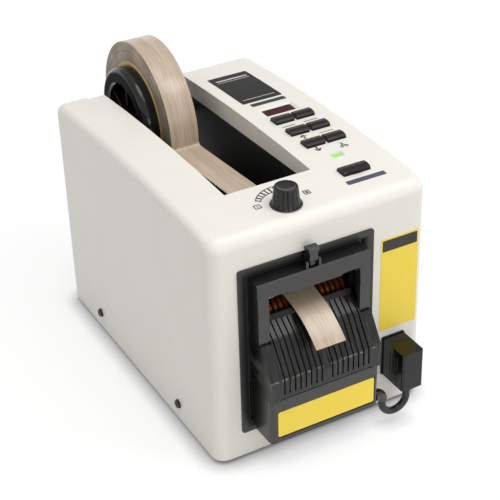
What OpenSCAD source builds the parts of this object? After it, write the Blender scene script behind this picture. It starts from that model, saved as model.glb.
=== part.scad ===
// Electric tape dispenser for a shop counter.
// X runs to the right and Y to the back, both in millimetres, and Z is up.
// The modules measure Y from the cover's front face and Z from its lower edge.

/* [Cover] */
// Width of the cover
body_w = 140; // [134:1:160]
// Length of the cover from front to back
body_l = 208; // [200:1:230]
// Height of the cover at its crown
crown_z = 149; // [145:1:158]
// Distance of the crown's highest line from the front
crown_y = 85; // [75:1:100]
// Radius of the crown along the cover
crown_r = 1380; // [1000:10:2400]
// Rounding of the front corners
front_r = 8; // [6:0.5:11]
// Rounding of the back corners
back_r = 6; // [5:0.5:9]
// Rounding of the long top edges
edge_r = 5; // [4:0.5:7]
// Wall of the cover
wall = 3; // [2:0.25:3.5]
// Height of the rubber feet below the cover
feet_h = 3; // [2:0.5:6]
// Radius of a rubber foot
foot_r = 8; // [6:0.5:10]
// Thickness of the base plate
base_t = 2; // [1.5:0.25:3]
// Height of the base plate's side flanges
flange_h = 18; // [16:1:24]
// Height of the side screws
screw_z = 11.2; // [9:0.2:13]
// Thread radius of the side screws
screw_r = 1.5; // [1.25:0.25:2]

/* [Tape] */
// Sideways place of the tape's centre line
tape_x = -10.4; // [-13:0.2:-8]
// Width of the tape
tape_w = 19; // [12:1:32]
// Drawn thickness of the tape
tape_t = 0.4; // [0.3:0.05:0.5]
// Outer radius of the tape roll
roll_r = 48.8; // [42:0.2:51]
// Radius of the core's bore
core_r = 33.8; // [31:0.2:35]
// Wall of the core
core_wall = 2.4; // [1.5:0.1:4]
// Depth of the reel's axis below the crown
reel_drop = 21.5; // [20:0.5:26]
// Distance of the reel's axis from the back
reel_back = 15; // [12:0.5:24]
// Depth of the web below the reel's axis where it leaves the roll
web_drop = 4; // [2:0.25:6]
// Rise of the web from the roll to the guide roller
web_rise = 6.6; // [4:0.2:9]
// Reach of the paid out tape from the cut
tongue_reach = 25.8; // [24:0.2:32]
// Droop of the paid out tape per square millimetre of reach
tongue_droop = 0.014; // [0.01:0.001:0.018]

/* [Reel] */
// Width of the well that holds the reel
well_w = 55.5; // [54:0.5:62]
// Distance of the well's front edge from the front
well_front = 41; // [38:0.5:46]
// Depth of the lip that lines the well's edge
lip_h = 15.6; // [14:0.2:17]
// Rise of the lip's lower edge from the back to the well's front
lip_rise = 5.9; // [3:0.1:8]
// Thickness of the lip
lip_t = 2.5; // [1.5:0.25:3]
// Thickness of the chassis plates
plate_t = 2; // [1.5:0.25:2.5]
// Length of the reel's hub
hub_l = 32.4; // [30:0.2:36]
// Reach of the hub past the tape's left edge
hub_reach = 9.7; // [6:0.1:10]
// Rounding of the hub's outer edges
hub_round = 4.5; // [2:0.25:6]
// Radius of the recess in the hub's ends
hub_bore_r = 23.5; // [18:0.5:27]
// Depth of the recess in the hub's ends
hub_bore_d = 11; // [8:0.5:14]
// Radius of the reel's axle
axle_r = 4; // [3:0.25:5]
// Radius of the guide roller
guide_r = 5; // [4:0.25:6]
// Distance of the guide roller from the front
guide_y = 52; // [50:0.5:56]

/* [Feed] */
// Distance of the feed rollers from the front
nip_y = 11; // [10.5:0.25:13]
// Height of the pressure roller's axis
press_z = 100.6; // [99:0.2:102]
// Radius of the pressure roller
press_r = 5; // [4.5:0.1:5.4]
// Radius of the feed roller's rings
ring_r = 7; // [6:0.1:7.2]
// Width of a feed ring
ring_w = 1.8; // [1.2:0.1:2.4]
// Spacing of the feed rings
ring_pitch = 3.4; // [3:0.1:4]
// Number of feed rings
ring_count = 17; // [11:2:17]
// Radius of the roller shafts
shaft_r = 3; // [2.5:0.25:3.5]
// Downward angle of the tape as it leaves the rollers
feed_tilt = 12.5; // [8:0.5:14]
// Size of a gear tooth as pitch diameter over teeth
gear_m = 1; // [0.9:0.05:1.05]
// Teeth of the feed roller's gear
feed_teeth = 12; // [12:1:13]
// Teeth of the motor's gear
drive_teeth = 24; // [23:1:28]
// Radius of the feed motor
feed_motor_r = 10; // [8:0.5:10.5]

/* [Cutter unit] */
// Width of the cutter unit
unit_w = 72; // [70:0.5:73]
// Width of the black surround
bezel_w = 86.9; // [85:0.5:92]
// Lower edge of the surround
bezel_low = 16.6; // [14:0.2:17]
// Upper edge of the surround
bezel_top = 126.1; // [125:0.1:128]
// Height of the surround above the cover's face
bezel_proud = 1.2; // [0.8:0.1:2]
// Rounding of the surround's inner lip
lip_r = 6; // [5:0.25:6.5]
// Top edge of the hood
hood_top = 118.8; // [117:0.2:119.4]
// Lower end of the hood's legs
hood_low = 80.4; // [78:0.2:83]
// Top edge of the tape window
window_top = 108.3; // [107:0.1:109]
// Width of the tape window
window_w = 58.6; // [56:0.2:60]
// Reach of the hood in front of the cover, at its top
hood_reach = 8.6; // [7.5:0.1:9.5]
// Reach of the hood in front of the cover, at its lower end
leg_reach = 10.9; // [9.5:0.1:12]
// Thickness of the hood
hood_t = 4.6; // [3.5:0.1:5]
// Reach of the ramp in front of the cover
ramp_reach = 22.2; // [20:0.2:24]
// Height of the ramp's front edge
ramp_low = 62.2; // [58:0.2:66]
// Reach of the bend in the ramp's slope
ramp_bend = 10.4; // [9:0.2:12]
// Height of the bend in the ramp's slope
ramp_bend_z = 80.8; // [79:0.2:82]
// Height of the ramp's back edge
ramp_crest = 88.2; // [86:0.2:89]
// Height of the seam between ramp and front block
seam_z = 48.2; // [45:0.1:50]
// Number of grooves in the ramp
groove_count = 17; // [9:2:17]
// Width of a groove
groove_w = 1; // [0.8:0.1:1.8]
// Depth of a groove
groove_d = 1.2; // [0.8:0.1:1.6]
// Lower edge of the front block
block_low = 18; // [16:0.2:20]
// Reach of the front block
block_reach = 20.8; // [19:0.2:22]
// Stroke of the moving blade
blade_stroke = 12; // [11:0.5:12.5]
// Thickness of the blades
blade_t = 1.5; // [1:0.1:1.6]
// Room between the moving blade's ends and the unit's sides
blade_room = 4; // [3.75:0.25:5]
// Height of the cutter motor's axis
crank_z = 52; // [51:0.5:54]
// Radius of the cutter motor
cut_motor_r = 11; // [9:0.5:12]
// Width of the latch
latch_w = 5.2; // [4:0.2:6]

/* [Connector] */
// Width of the plug
plug_w = 14.5; // [12:0.5:16]
// Length of the plug
plug_l = 21; // [18:0.5:24]
// Height of the plug
plug_h = 25.6; // [22:0.2:28]
// Top of the plug
plug_top = 47.4; // [46:0.2:50]
// Sideways place of the plug's centre
plug_x = 48.7; // [47:0.1:52]
// Diameter of the cutter's lead
lead_d = 4.6; // [3.6:0.2:5.2]

/* [Console] */
// Width of a key
key_w = 12.2; // [10:0.2:13]
// Length of a key
key_l = 8; // [6:0.2:9]
// Width of the long key
auto_w = 17.4; // [14:0.2:20]
// Height of the keys above the cover
key_h = 2.6; // [2:0.1:3.5]
// Travel of the keys
key_travel = 1; // [0.6:0.1:1.2]
// Spacing of the key columns
key_pitch_x = 14.2; // [13.6:0.1:16]
// Spacing of the key rows
key_pitch_y = 17.5; // [14:0.1:19]
// Distance of the front key row from the front
key_front = 66.5; // [60:0.5:68]
// Distance of the long key from the front
auto_y = 28.7; // [26:0.1:32]
// Width of the display window
display_w = 20; // [16:0.5:24]
// Length of the display window
display_l = 8.6; // [7:0.2:10]
// Distance of the display from the front
display_y = 116.8; // [115:0.2:122]
// Width of the power lamp
lamp_w = 6.6; // [5:0.2:8]
// Length of the power lamp
lamp_l = 5; // [4:0.2:6]
// Distance of the power lamp from the front
lamp_y = 48.4; // [45:0.2:51]
// Sideways place of the speed knob
knob_x = -13.2; // [-20:0.2:-6]
// Distance of the speed knob from the front
knob_y = 16.2; // [14:0.2:20]
// Radius of the knob's skirt
knob_r = 9.3; // [8:0.1:11]
// Radius of the knob's top
knob_top_r = 6.6; // [6:0.1:8]
// Height of the knob
knob_h = 11.3; // [9:0.1:14]

/* [Back] */
// Width of the power inlet
inlet_w = 28; // [26:0.5:32]
// Height of the power inlet
inlet_h = 20; // [18:0.5:24]
// Height of the inlet's centre
inlet_z = 26; // [22:0.5:28]
// Width of the power switch
rocker_w = 15; // [12:0.5:16]
// Height of the power switch
rocker_h = 21; // [18:0.5:24]
// Height of the power switch's centre
rocker_z = 64; // [62:0.5:70]

/* [Inside] */
// Width of the transformer's core
trafo_w = 48; // [42:1:52]
// Length of the transformer's core
trafo_l = 20; // [16:1:26]
// Height of the transformer's core
trafo_h = 40; // [34:1:44]
// Overhang of the coil past the core
coil_over = 7; // [4:0.5:9]
// Length of the control board
control_l = 76; // [70:1:84]
// Height of the control board
control_h = 76; // [70:1:84]
// Distance of the control board from the front
control_y = 62; // [58:1:70]
// Height of the control board's lower edge
control_z = 14; // [12:1:20]

/* [Hidden] */
$fn = 48;

// Clearances
gap = 0.3;
run = 0.05;
slip = 0.2;
over = 1;

// Colours
cover_white = [0.93, 0.92, 0.89];
black_plastic = [0.16, 0.16, 0.155];
dark_plastic = [0.1, 0.1, 0.1];
steel = [0.72, 0.73, 0.75];
tape_tan = [0.8, 0.71, 0.6];
board_green = [0.1, 0.35, 0.2];

// Places along the tape
reel_y = body_l - reel_back;
reel_z = crown_z - reel_drop;
well_right = tape_x + well_w / 2;
well_left = tape_x - well_w / 2;
lip_low = crown_z - lip_h;
chassis_in = well_w / 2 + lip_t - plate_t;
function lip_z(y) = lip_low + lip_rise * (body_l - y) / (body_l - well_front + lip_t);
floor_top = reel_z - roll_r - 6;
peel_z = reel_z - web_drop;
web_z = peel_z + web_rise;
hub_left = tape_x - tape_w / 2 - hub_reach;
hub_right = hub_left + hub_l;
guide_z = web_z - tape_t / 2 - gap - guide_r;
web_rg = guide_r + gap + tape_t / 2;
web_rp = press_r + gap + tape_t / 2;
nip_dy = nip_y - guide_y;
nip_dz = press_z - guide_z;
nip_d = norm([nip_dy, nip_dz]);
theta_in = atan2(nip_dz, nip_dy) + 360 + asin((web_rg + web_rp) / nip_d);
theta_out = 180 + feed_tilt;
guide_end = atan2(-cos(theta_in), sin(theta_in));
press_start = atan2(cos(theta_in), -sin(theta_in));
press_end = atan2(cos(theta_out), -sin(theta_out));
exit_y = nip_y + web_rp * cos(press_end);
exit_z = press_z + web_rp * sin(press_end);
feed_z = exit_z - (exit_y - nip_y) * tan(feed_tilt)
    - (ring_r + gap + tape_t / 2) / cos(feed_tilt);
function path_z(y) = exit_z - (exit_y - y) * tan(feed_tilt);

// Places of the blades, with the cut between the two tape ends
blade_y = 0.5;
blade_back = blade_y + blade_t;
web_end = blade_back + 0.5;
tongue_y = blade_y - 0.4;
tongue_z = path_z(tongue_y);
function tongue_at(d) = tongue_z - d * tan(feed_tilt) - tongue_droop * d * d;
function tongue_slope(d) = atan(tan(feed_tilt) + 2 * tongue_droop * d);

// The moving blade drops past the fixed blade's edge, which lies just below the tape
fixed_y = blade_y - gap - blade_t;
fixed_top = tongue_at(tongue_y - fixed_y) - tape_t - gap;
fixed_h = 14;
blade_w = unit_w - 2 * blade_room;
blade_h = 9;
blade_dip = 1.6;
blade_bite = 0.5;
blade_rest = fixed_top - blade_bite - blade_dip + blade_stroke;

// Outer reach of the whole object, whose middle is the origin
front_reach = tongue_y - tongue_reach - tape_t / 2 * sin(tongue_slope(tongue_reach));
back_reach = reel_y + roll_r;
y_mid = (front_reach + back_reach) / 2;

// Cutter unit
unit_left = tape_x - unit_w / 2;
unit_right = tape_x + unit_w / 2;
unit_clear = 1.45;
rim_flat = 1;
open_half = unit_w / 2 + unit_clear;
open_low = bezel_low + lip_r;
open_top = bezel_top - lip_r;
side_roll = bezel_w / 2 - open_half;
sleeve_x = side_roll - rim_flat;
sleeve_z = lip_r - rim_flat;
sleeve_d = wall + 0.4;
ledge_y = sleeve_d - 1.2;
ledge_in = 1.8;
leg_w = (unit_w - window_w) / 2;

// Slopes of the ramp below and above its bend, which is rounded
ramp_back = fixed_y;
ramp_round = 14;
slope_low = atan2(ramp_bend_z - ramp_low, ramp_reach - ramp_bend);
slope_high = atan2(ramp_crest - ramp_bend_z, ramp_bend + ramp_back);
function outward(a) = [-sin(a), cos(a)];
ramp_mid = [-ramp_bend, ramp_bend_z] - ramp_round * (outward(slope_low) + outward(slope_high))
    / (1 + outward(slope_low) * outward(slope_high));

// Drive of the blade
frame_y = 7;
frame_t = 1.5;
crank_r = blade_stroke / 2;
pin_r = 1.5;
carrier_t = 1.6;
carrier_back = blade_back + carrier_t;
crank_y = carrier_back + 0.8;
crank_t = frame_y - 0.6 - crank_y;

// Feed frame
frame_in = unit_w / 2 - 2;
frame_out = frame_in + plate_t;
bush_r = shaft_r + 1.8;
gear_t = 4;
gear_x = tape_x - frame_out - 1.6;
drive_dist = gear_m * (feed_teeth + drive_teeth) / 2;
drive_ang = -27;
drive_y = nip_y + drive_dist * cos(drive_ang);
drive_z = feed_z + drive_dist * sin(drive_ang);
motor_shaft_r = 1.5;

// Latch
latch_y = 6.5;
latch_z = bezel_top - 3.1;
latch_pin_r = 1.2;
latch_slot = latch_w + 2.2;

// Connector and lead
socket_t = 1;
lead_y = -16;
lead_z = block_low + 4;
lead_bend = 4.4;
bend_x = unit_right + 1.5;
lead_left = bend_x + lead_bend;
lead_loop_r = (plug_x - lead_left) / 2;
lead_mid_z = lead_z - lead_bend - 3.4;
boot_h = 2.6;

// Console
console_x = (well_right + body_w / 2) / 2 - 1.8;
key_x = [console_x - key_pitch_x / 2, console_x + key_pitch_x / 2];
key_rows = [for (i = [2 : -1 : 0]) key_front + i * key_pitch_y];
auto_x = console_x - 3.4;
lamp_x = console_x - 2.2;
display_x = console_x - 0.6;
key_slip = 0.35;
key_flange = 1.2;
board_z = top_z(auto_y) - wall - 6.6;
board_t = 1.6;
switch_h = 1.5;
pot_shaft_r = 3;
board_x0 = well_right + lip_t + 1.2;
board_x1 = body_w / 2 - wall - 2;
post_in = 4;
post_x = [board_x0 + post_in, board_x1 - post_in];
post_y = [auto_y + 16, display_y + 14];
window_lap = 1.6;
pane_t = 1;

// Back
inlet_x = (well_right + lip_t + body_w / 2 - wall) / 2;
fuse_z = (inlet_z + inlet_h / 2 + rocker_z - rocker_h / 2) / 2;
fuse_r = 4.5;
supply_y = 150;
plate_low = 0.5 + base_t;
trafo_limb = trafo_w / 6;
control_gap = 6;

// Height of the crowned top at a distance from the front
function top_z(y) = crown_z - pow(y - crown_y, 2) / (2 * crown_r);
pane_z = top_z(display_y + display_l / 2 + window_lap) - wall - gap;

// Set back corner at the left of the well's open end
corner_w = 11.3;
corner_l = 7;
corner_low = lip_low + 2.2;

module place() {
    translate([0, -y_mid, feet_h]) children();
}

// Bar along X with a section drawn in Y and Z
module bar_x(x0, x1) {
    translate([x0, 0, 0]) rotate([90, 0, 90]) linear_extrude(x1 - x0) children();
}

// Bar along Y with a section drawn in X and Z
module bar_y(y0, y1) {
    translate([0, y1, 0]) rotate([90, 0, 0]) linear_extrude(y1 - y0) children();
}

module rod_x(r, x0, x1, y, z) {
    translate([x0, y, z]) rotate([0, 90, 0]) cylinder(r = r, h = x1 - x0);
}

module rod_y(r, y0, y1, x, z) {
    translate([x, y1, z]) rotate([90, 0, 0]) cylinder(r = r, h = y1 - y0);
}

module rod_z(r, z0, z1, x, y) {
    translate([x, y, z0]) cylinder(r = r, h = z1 - z0);
}

module box(x0, x1, y0, y1, z0, z1) {
    translate([x0, y0, z0]) cube([x1 - x0, y1 - y0, z1 - z0]);
}

// Rectangle with round corners
module soft_rect(x0, x1, y0, y1, r) {
    translate([x0 + r, y0]) square([x1 - x0 - 2 * r, y1 - y0]);
    translate([x0, y0 + r]) square([x1 - x0, y1 - y0 - 2 * r]);
    for (x = [x0 + r, x1 - r], y = [y0 + r, y1 - r]) translate([x, y]) circle(r);
}

// Revolved solid about an axis along X, drawn as radius and length
module turned_x(x, y, z) {
    translate([x, y, z]) rotate([0, 90, 0]) rotate_extrude() children();
}

// Points on a circle arc
function arc(cy, cz, r, a0, a1, n) =
    [for (i = [0 : n]) let (a = a0 + (a1 - a0) * i / n) [cy + r * cos(a), cz + r * sin(a)]];

// Involute gear outline with a tooth on its first axis
gear_pa = 28;
gear_play = 0.12;
function inv_deg(a) = tan(a) * 180 / PI - a;
function tooth_half(r, n) = let (rp = n * gear_m / 2, rb = rp * cos(gear_pa))
    90 / n - gear_play / rp * 180 / PI + inv_deg(gear_pa) - inv_deg(acos(min(1, rb / r)));
function polar(r, a) = [r * cos(a), r * sin(a)];
module gear_outline(n) {
    rp = n * gear_m / 2;
    ra = rp + 0.9 * gear_m;
    rf = rp - 1.15 * gear_m;
    r0 = max(rf, rp * cos(gear_pa));
    radii = [for (i = [0 : 3]) r0 + (ra - r0) * i / 3];
    polygon([for (t = [0 : n - 1]) let (a = t * 360 / n) each concat(
        [polar(rf, a - tooth_half(r0, n))],
        [for (i = [0 : 3]) polar(radii[i], a - tooth_half(radii[i], n))],
        [for (i = [3 : -1 : 0]) polar(radii[i], a + tooth_half(radii[i], n))],
        [polar(rf, a + tooth_half(r0, n))])]);
}

// Crowned, rounded body of the cover, drawn in from its skin by an inset
module cover_form(inset, low) {
    steps = 6;
    side = body_w / 2;
    hull() for (s = [-1, 1]) {
        for (post = [[front_r, front_r], [body_l - back_r, back_r]]) {
            head = top_z(post[0]) - post[1];
            translate([s * (side - post[1]), post[0], low])
                cylinder(r = post[1] - inset, h = head - low, $fn = 32);
            translate([s * (side - post[1]), post[0], head]) sphere(r = post[1] - inset, $fn = 32);
        }
        for (i = [0 : steps]) {
            y = front_r + edge_r + (body_l - front_r - back_r - 2 * edge_r) * i / steps;
            translate([s * (side - edge_r), y, top_z(y) - edge_r]) sphere(r = edge_r - inset, $fn = 32);
        }
    }
}

// Lip that folds down from the top along the well, below the skin
module well_lip() {
    sink = wall / 2;
    n = 10;
    y1 = body_l - wall / 2;
    profile = concat([[well_front - lip_t, lip_z(well_front - lip_t)], [y1, lip_z(y1)]],
        [for (i = [n : -1 : 0]) let (y = well_front - lip_t + (y1 - well_front + lip_t) * i / n)
            [y, top_z(y) - sink]]);
    difference() {
        bar_x(well_left - lip_t, well_right + lip_t) polygon(profile);
        box(well_left, well_right, well_front, body_l + over, lip_low - over, crown_z + over);
    }
}

module key_holes() {
    for (x = key_x, y = key_rows) translate([x, y, top_z(y)])
        cube([key_w + 2 * key_slip, key_l + 2 * key_slip, 4 * wall], center = true);
    translate([auto_x, auto_y, top_z(auto_y)])
        cube([auto_w + 2 * key_slip, key_l + 2 * key_slip, 4 * wall], center = true);
}

// Sunk window with bevelled sides, cut through the top
module bevel_hole(x, y, w, l, bevel) {
    z = top_z(y);
    translate([x, y, z]) {
        cube([w, l, 4 * wall], center = true);
        hull() {
            translate([0, 0, 0.5]) cube([w + 2 * bevel, l + 2 * bevel, 0.1], center = true);
            translate([0, 0, 0.2 - wall / 2]) cube([w, l, 0.1], center = true);
        }
    }
}

module side_screw_places() {
    for (s = [-1, 1], y = [49, 161]) translate([s * body_w / 2, y, screw_z])
        rotate([0, s * 90, 0]) children();
}

module back_holes() {
    bar_y(body_l - 2 * wall, body_l + over) {
        translate([inlet_x - inlet_w / 2, inlet_z - inlet_h / 2]) square([inlet_w, inlet_h]);
        translate([inlet_x - rocker_w / 2, rocker_z - rocker_h / 2]) square([rocker_w, rocker_h]);
    }
    rod_y(fuse_r, body_l - 2 * wall, body_l + over, inlet_x, fuse_z);
}

module board_posts() {
    for (x = post_x, y = post_y) rod_z(2.5, board_z + board_t, top_z(y) - wall / 2, x, y);
}

// Floor and walls that close the set back corner below the skin
module corner_walls() {
    t = 2;
    y = body_l - corner_l;
    mirror_on_tape(1) {
        x1 = well_right + corner_w;
        box(well_right, x1 + t, y - t, body_l - wall / 2, corner_low - t, corner_low);
        box(well_right, x1 + t, y - t, y, corner_low - t, top_z(y) - wall / 2);
        box(x1, x1 + t, y - t, body_l - wall / 2, corner_low - t, top_z(body_l) - wall);
    }
}

module main_cover() {
    place() color(cover_white) difference() {
        union() {
            difference() {
                cover_form(0, 0);
                cover_form(wall, -over);
                box(well_left, well_right, well_front, body_l + over, floor_top, crown_z + over);
            }
            well_lip();
            board_posts();
            corner_walls();
        }
        mirror_on_tape(1) box(well_right - over, well_right + corner_w, body_l - corner_l, body_l + over,
            corner_low, crown_z + over);
        // Front opening behind the surround
        box(tape_x - open_half - sleeve_x - slip, tape_x + open_half + sleeve_x + slip, -over, wall + over,
            open_low - sleeve_z - slip, open_top + sleeve_z + slip);
        box(tape_x - latch_slot / 2, tape_x + latch_slot / 2, -over, wall + over, open_top, bezel_top - 0.2);
        // Opening for the connector socket
        box(plug_x - plug_w / 2 + 2, plug_x + plug_w / 2 - 2, -over, wall + over,
            plug_top - plug_h + 4, plug_top - 4);
        key_holes();
        bevel_hole(display_x, display_y, display_w, display_l, 2.2);
        bevel_hole(lamp_x, lamp_y, lamp_w, lamp_l, 1);
        rod_z(pot_shaft_r + 0.6, top_z(knob_y) - 2 * wall, crown_z, knob_x, knob_y);
        side_screw_places() translate([0, 0, -2 * wall]) cylinder(r = screw_r + slip, h = 3 * wall);
        back_holes();
    }
}

// Folded plate that closes the bottom and takes the side screws
module base_plate() {
    x = body_w / 2 - wall - slip;
    y0 = wall + slip;
    y1 = body_l - wall - slip;
    r = front_r - wall;
    place() color(steel) difference() {
        union() {
            translate([0, 0, 0.5]) linear_extrude(base_t) soft_rect(-x, x, y0, y1, r);
            for (s = [-1, 1]) box(min(s * x, s * (x - plate_t)), max(s * x, s * (x - plate_t)),
                y0 + r + 6, y1 - r - 6, 0.5, flange_h);
        }
        side_screw_places() translate([0, 0, -4 * wall]) cylinder(r = screw_r + run, h = 5 * wall);
        // Cooling slots
        for (i = [0 : 6]) translate([console_x, 70 + i * 9, 0]) linear_extrude(2 * base_t + over)
            soft_rect(-12, 12, -1.5, 1.5, 1.4);
    }
}

module rubber_feet() {
    place() color(dark_plastic) for (s = [-1, 1], y = [22, body_l - 22])
        translate([s * (body_w / 2 - 20), y, -feet_h]) rotate_extrude()
            polygon([[0, 0], [foot_r - 1.2, 0], [foot_r, 1], [foot_r, feet_h + 0.5], [0, feet_h + 0.5]]);
}

module cover_screws() {
    head_r = 2 * screw_r;
    place() color(dark_plastic) side_screw_places() difference() {
        union() {
            cylinder(r1 = head_r, r2 = head_r - 0.6, h = 1.6);
            translate([0, 0, -wall - slip - plate_t - 1]) cylinder(r = screw_r, h = wall + slip + plate_t + 1);
        }
        for (a = [0, 90]) rotate(a) translate([-head_r * 0.65, -0.4, 0.7]) cube([head_r * 1.3, 0.8, over]);
    }
}

// Two plates and a floor that form the reel's well inside the cover
module reel_chassis() {
    y0 = guide_y - 8;
    y1 = body_l - wall - 2 * slip;
    out = chassis_in + plate_t;
    foot = 8;
    place() color(dark_plastic) difference() {
        union() {
            for (s = [0, 1]) mirror_on_tape(s) {
                bar_x(tape_x + chassis_in, tape_x + out) polygon([[y0, plate_low], [y1, plate_low],
                    [y1, lip_z(y1) - gap], [y0, lip_z(y0) - gap]]);
                box(tape_x + chassis_in, tape_x + out + foot, 90, 120, plate_low, plate_low + plate_t);
            }
            box(tape_x - out, tape_x + out, y0 + 26, y1, floor_top - plate_t, floor_top);
        }
        rod_x(axle_r + run, -body_w, body_w, reel_y, reel_z);
        rod_x(guide_r - 2 + run, -body_w, body_w, guide_y, guide_z);
    }
}

module reel_axle() {
    x0 = tape_x - chassis_in - plate_t - 2;
    x1 = tape_x + chassis_in + plate_t + 2;
    place() color(steel) {
        rod_x(axle_r, x0, x1, reel_y, reel_z);
        for (x = [x0 + 0.8, x1 - 1.8]) rod_x(axle_r + 1.4, x, x + 1, reel_y, reel_z);
    }
}

module reel_spacers() {
    r = axle_r + 2.2;
    place() color(steel) difference() {
        union() {
            rod_x(r, tape_x - chassis_in + 0.1, hub_left - gap, reel_y, reel_z);
            rod_x(r, hub_right + gap, tape_x + chassis_in - 0.1, reel_y, reel_z);
        }
        rod_x(axle_r + run, -body_w, body_w, reel_y, reel_z);
    }
}

// Copy to the other side of the tape's centre line
module mirror_on_tape(s) {
    translate([2 * tape_x * s, 0, 0]) mirror([s, 0, 0]) children();
}

// Black drum that the tape's core is pushed on
module reel_hub() {
    r = core_r - run;
    h = hub_l / 2;
    mid = hub_left + h;
    boss = axle_r + 5;
    web = h - hub_bore_d;
    place() color(black_plastic) {
        turned_x(mid, reel_y, reel_z) difference() {
            translate([axle_r + run, -h]) square([r - axle_r - run, 2 * h]);
            for (s = [-1, 1]) {
                translate([boss, s > 0 ? web : -h - over]) square([hub_bore_r - boss, hub_bore_d + over]);
                difference() {
                    translate([r - hub_round, s > 0 ? h - hub_round : -h - over])
                        square([hub_round + over, hub_round + over]);
                    translate([r - hub_round, s * (h - hub_round)]) circle(hub_round);
                }
                translate([hub_bore_r - over, s * h]) rotate(45) square(3, center = true);
            }
        }
        for (i = [0 : 5]) translate([mid, reel_y, reel_z]) rotate([i * 60, 0, 0])
            for (x = [-h + 3, web - 1]) translate([x, -1.2, boss - 1])
                cube([hub_bore_d - 2, 2.4, hub_bore_r - boss + 2]);
    }
}

module tape_ring(r0, r1) {
    difference() {
        rod_x(r1, tape_x - tape_w / 2, tape_x + tape_w / 2, reel_y, reel_z);
        rod_x(r0, tape_x - tape_w, tape_x + tape_w, reel_y, reel_z);
    }
}

module tape_core() {
    place() color([0.74, 0.58, 0.36]) tape_ring(core_r, core_r + core_wall);
}

module tape_roll() {
    place() color(tape_tan) tape_ring(core_r + core_wall, roll_r, $fn = 96);
}

// Tape from the roll over the guide and down between the rollers
module tape_web() {
    h = tape_t / 2;
    from = [reel_y - sqrt(roll_r * roll_r - web_drop * web_drop) - gap, peel_z];
    away = from - [guide_y, guide_z];
    guide_start = atan2(away[1], away[0]) + acos(web_rg / norm(away));
    lift = polar(h, guide_start);
    end = [web_end, path_z(web_end)];
    end_lift = h * outward(feed_tilt);
    side = function (k) concat([from + k * lift],
        arc(guide_y, guide_z, web_rg + k * h, guide_start, guide_end, 8),
        arc(nip_y, press_z, web_rp - k * h, press_start, press_end, 6), [end + k * end_lift]);
    lower = side(-1);
    place() color(tape_tan) bar_x(tape_x - tape_w / 2, tape_x + tape_w / 2)
        polygon(concat(side(1), [for (i = [len(lower) - 1 : -1 : 0]) lower[i]]));
}

// Cut strip that hangs out over the ramp
module tape_tongue() {
    n = 14;
    side = function (d, h) [tongue_y - d, tongue_at(d)] + h * [-sin(tongue_slope(d)), cos(tongue_slope(d))];
    upper = [for (i = [0 : n]) side(tongue_reach * i / n, tape_t / 2)];
    lower = [for (i = [n : -1 : 0]) side(tongue_reach * i / n, -tape_t / 2)];
    place() color(tape_tan) bar_x(tape_x - tape_w / 2, tape_x + tape_w / 2) polygon(concat(upper, lower));
}

module guide_roller() {
    x = chassis_in - gap;
    pin = chassis_in + plate_t + 0.5;
    place() color(steel) {
        rod_x(guide_r, tape_x - x, tape_x + x, guide_y, guide_z);
        rod_x(guide_r - 2, tape_x - pin, tape_x + pin, guide_y, guide_z);
    }
}

// Side plates that carry the feed rollers and the feed motor
module feed_frame() {
    back = 44;
    front = frame_y + frame_t + 1;
    neck = carrier_back + 0.6;
    foot = 6;
    step = crank_z + cut_motor_r + 9;
    head = press_z + bush_r + 4;
    outline = [[front, plate_low], [back, plate_low], [back, head], [neck, head], [neck, step], [front, step]];
    place() color(steel) difference() {
        union() {
            for (s = [0, 1]) mirror_on_tape(s) {
                bar_x(tape_x + frame_in, tape_x + frame_out) polygon(outline);
                box(tape_x + frame_in, tape_x + frame_out + foot, front + 6, back,
                    plate_low, plate_low + plate_t);
            }
            box(tape_x - frame_in, tape_x + frame_in, back - 3, back, feed_z + 10, feed_z + 13);
        }
        for (z = [feed_z, press_z]) rod_x(bush_r + run, -body_w, body_w, nip_y, z);
        rod_x(motor_shaft_r + 1, -body_w, tape_x, drive_y, drive_z);
    }
}

module roller_bushes() {
    place() color([0.75, 0.6, 0.3]) for (s = [0, 1], z = [feed_z, press_z]) mirror_on_tape(s) difference() {
        union() {
            rod_x(bush_r, tape_x + frame_in, tape_x + frame_out + 1, nip_y, z);
            rod_x(bush_r + 1.2, tape_x + frame_out, tape_x + frame_out + 1, nip_y, z);
        }
        rod_x(shaft_r + run, tape_x, tape_x + body_w, nip_y, z);
    }
}

module feed_shaft() {
    core = ring_r - 1.6;
    half = ring_count * ring_pitch / 2;
    place() color(dark_plastic) {
        rod_x(shaft_r, gear_x - gear_t - 0.6, tape_x + frame_out + 2, nip_y, feed_z);
        rod_x(core, tape_x - half, tape_x + half, nip_y, feed_z);
    }
}

// Silicone rings that the sticky side runs on
module feed_rings() {
    place() color([0.95, 0.5, 0.12]) for (i = [0 : ring_count - 1])
        translate([tape_x + (i - (ring_count - 1) / 2) * ring_pitch - ring_w / 2, 0, 0]) difference() {
            rod_x(ring_r, 0, ring_w, nip_y, feed_z);
            rod_x(ring_r - 1.6, -over, ring_w + over, nip_y, feed_z);
        }
}

module feed_gear() {
    place() color([0.85, 0.83, 0.75]) difference() {
        translate([0, nip_y, feed_z]) bar_x(gear_x - gear_t, gear_x) rotate(drive_ang) gear_outline(feed_teeth);
        rod_x(shaft_r + 0.02, -body_w, body_w, nip_y, feed_z);
    }
}

module pressure_shaft() {
    place() color(steel) rod_x(shaft_r, tape_x - frame_out - 2, tape_x + frame_out + 2, nip_y, press_z);
}

module pressure_sleeve() {
    x = frame_in - gap;
    place() color(dark_plastic) difference() {
        rod_x(press_r, tape_x - x, tape_x + x, nip_y, press_z);
        rod_x(shaft_r, -body_w, body_w, nip_y, press_z);
    }
}

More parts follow.
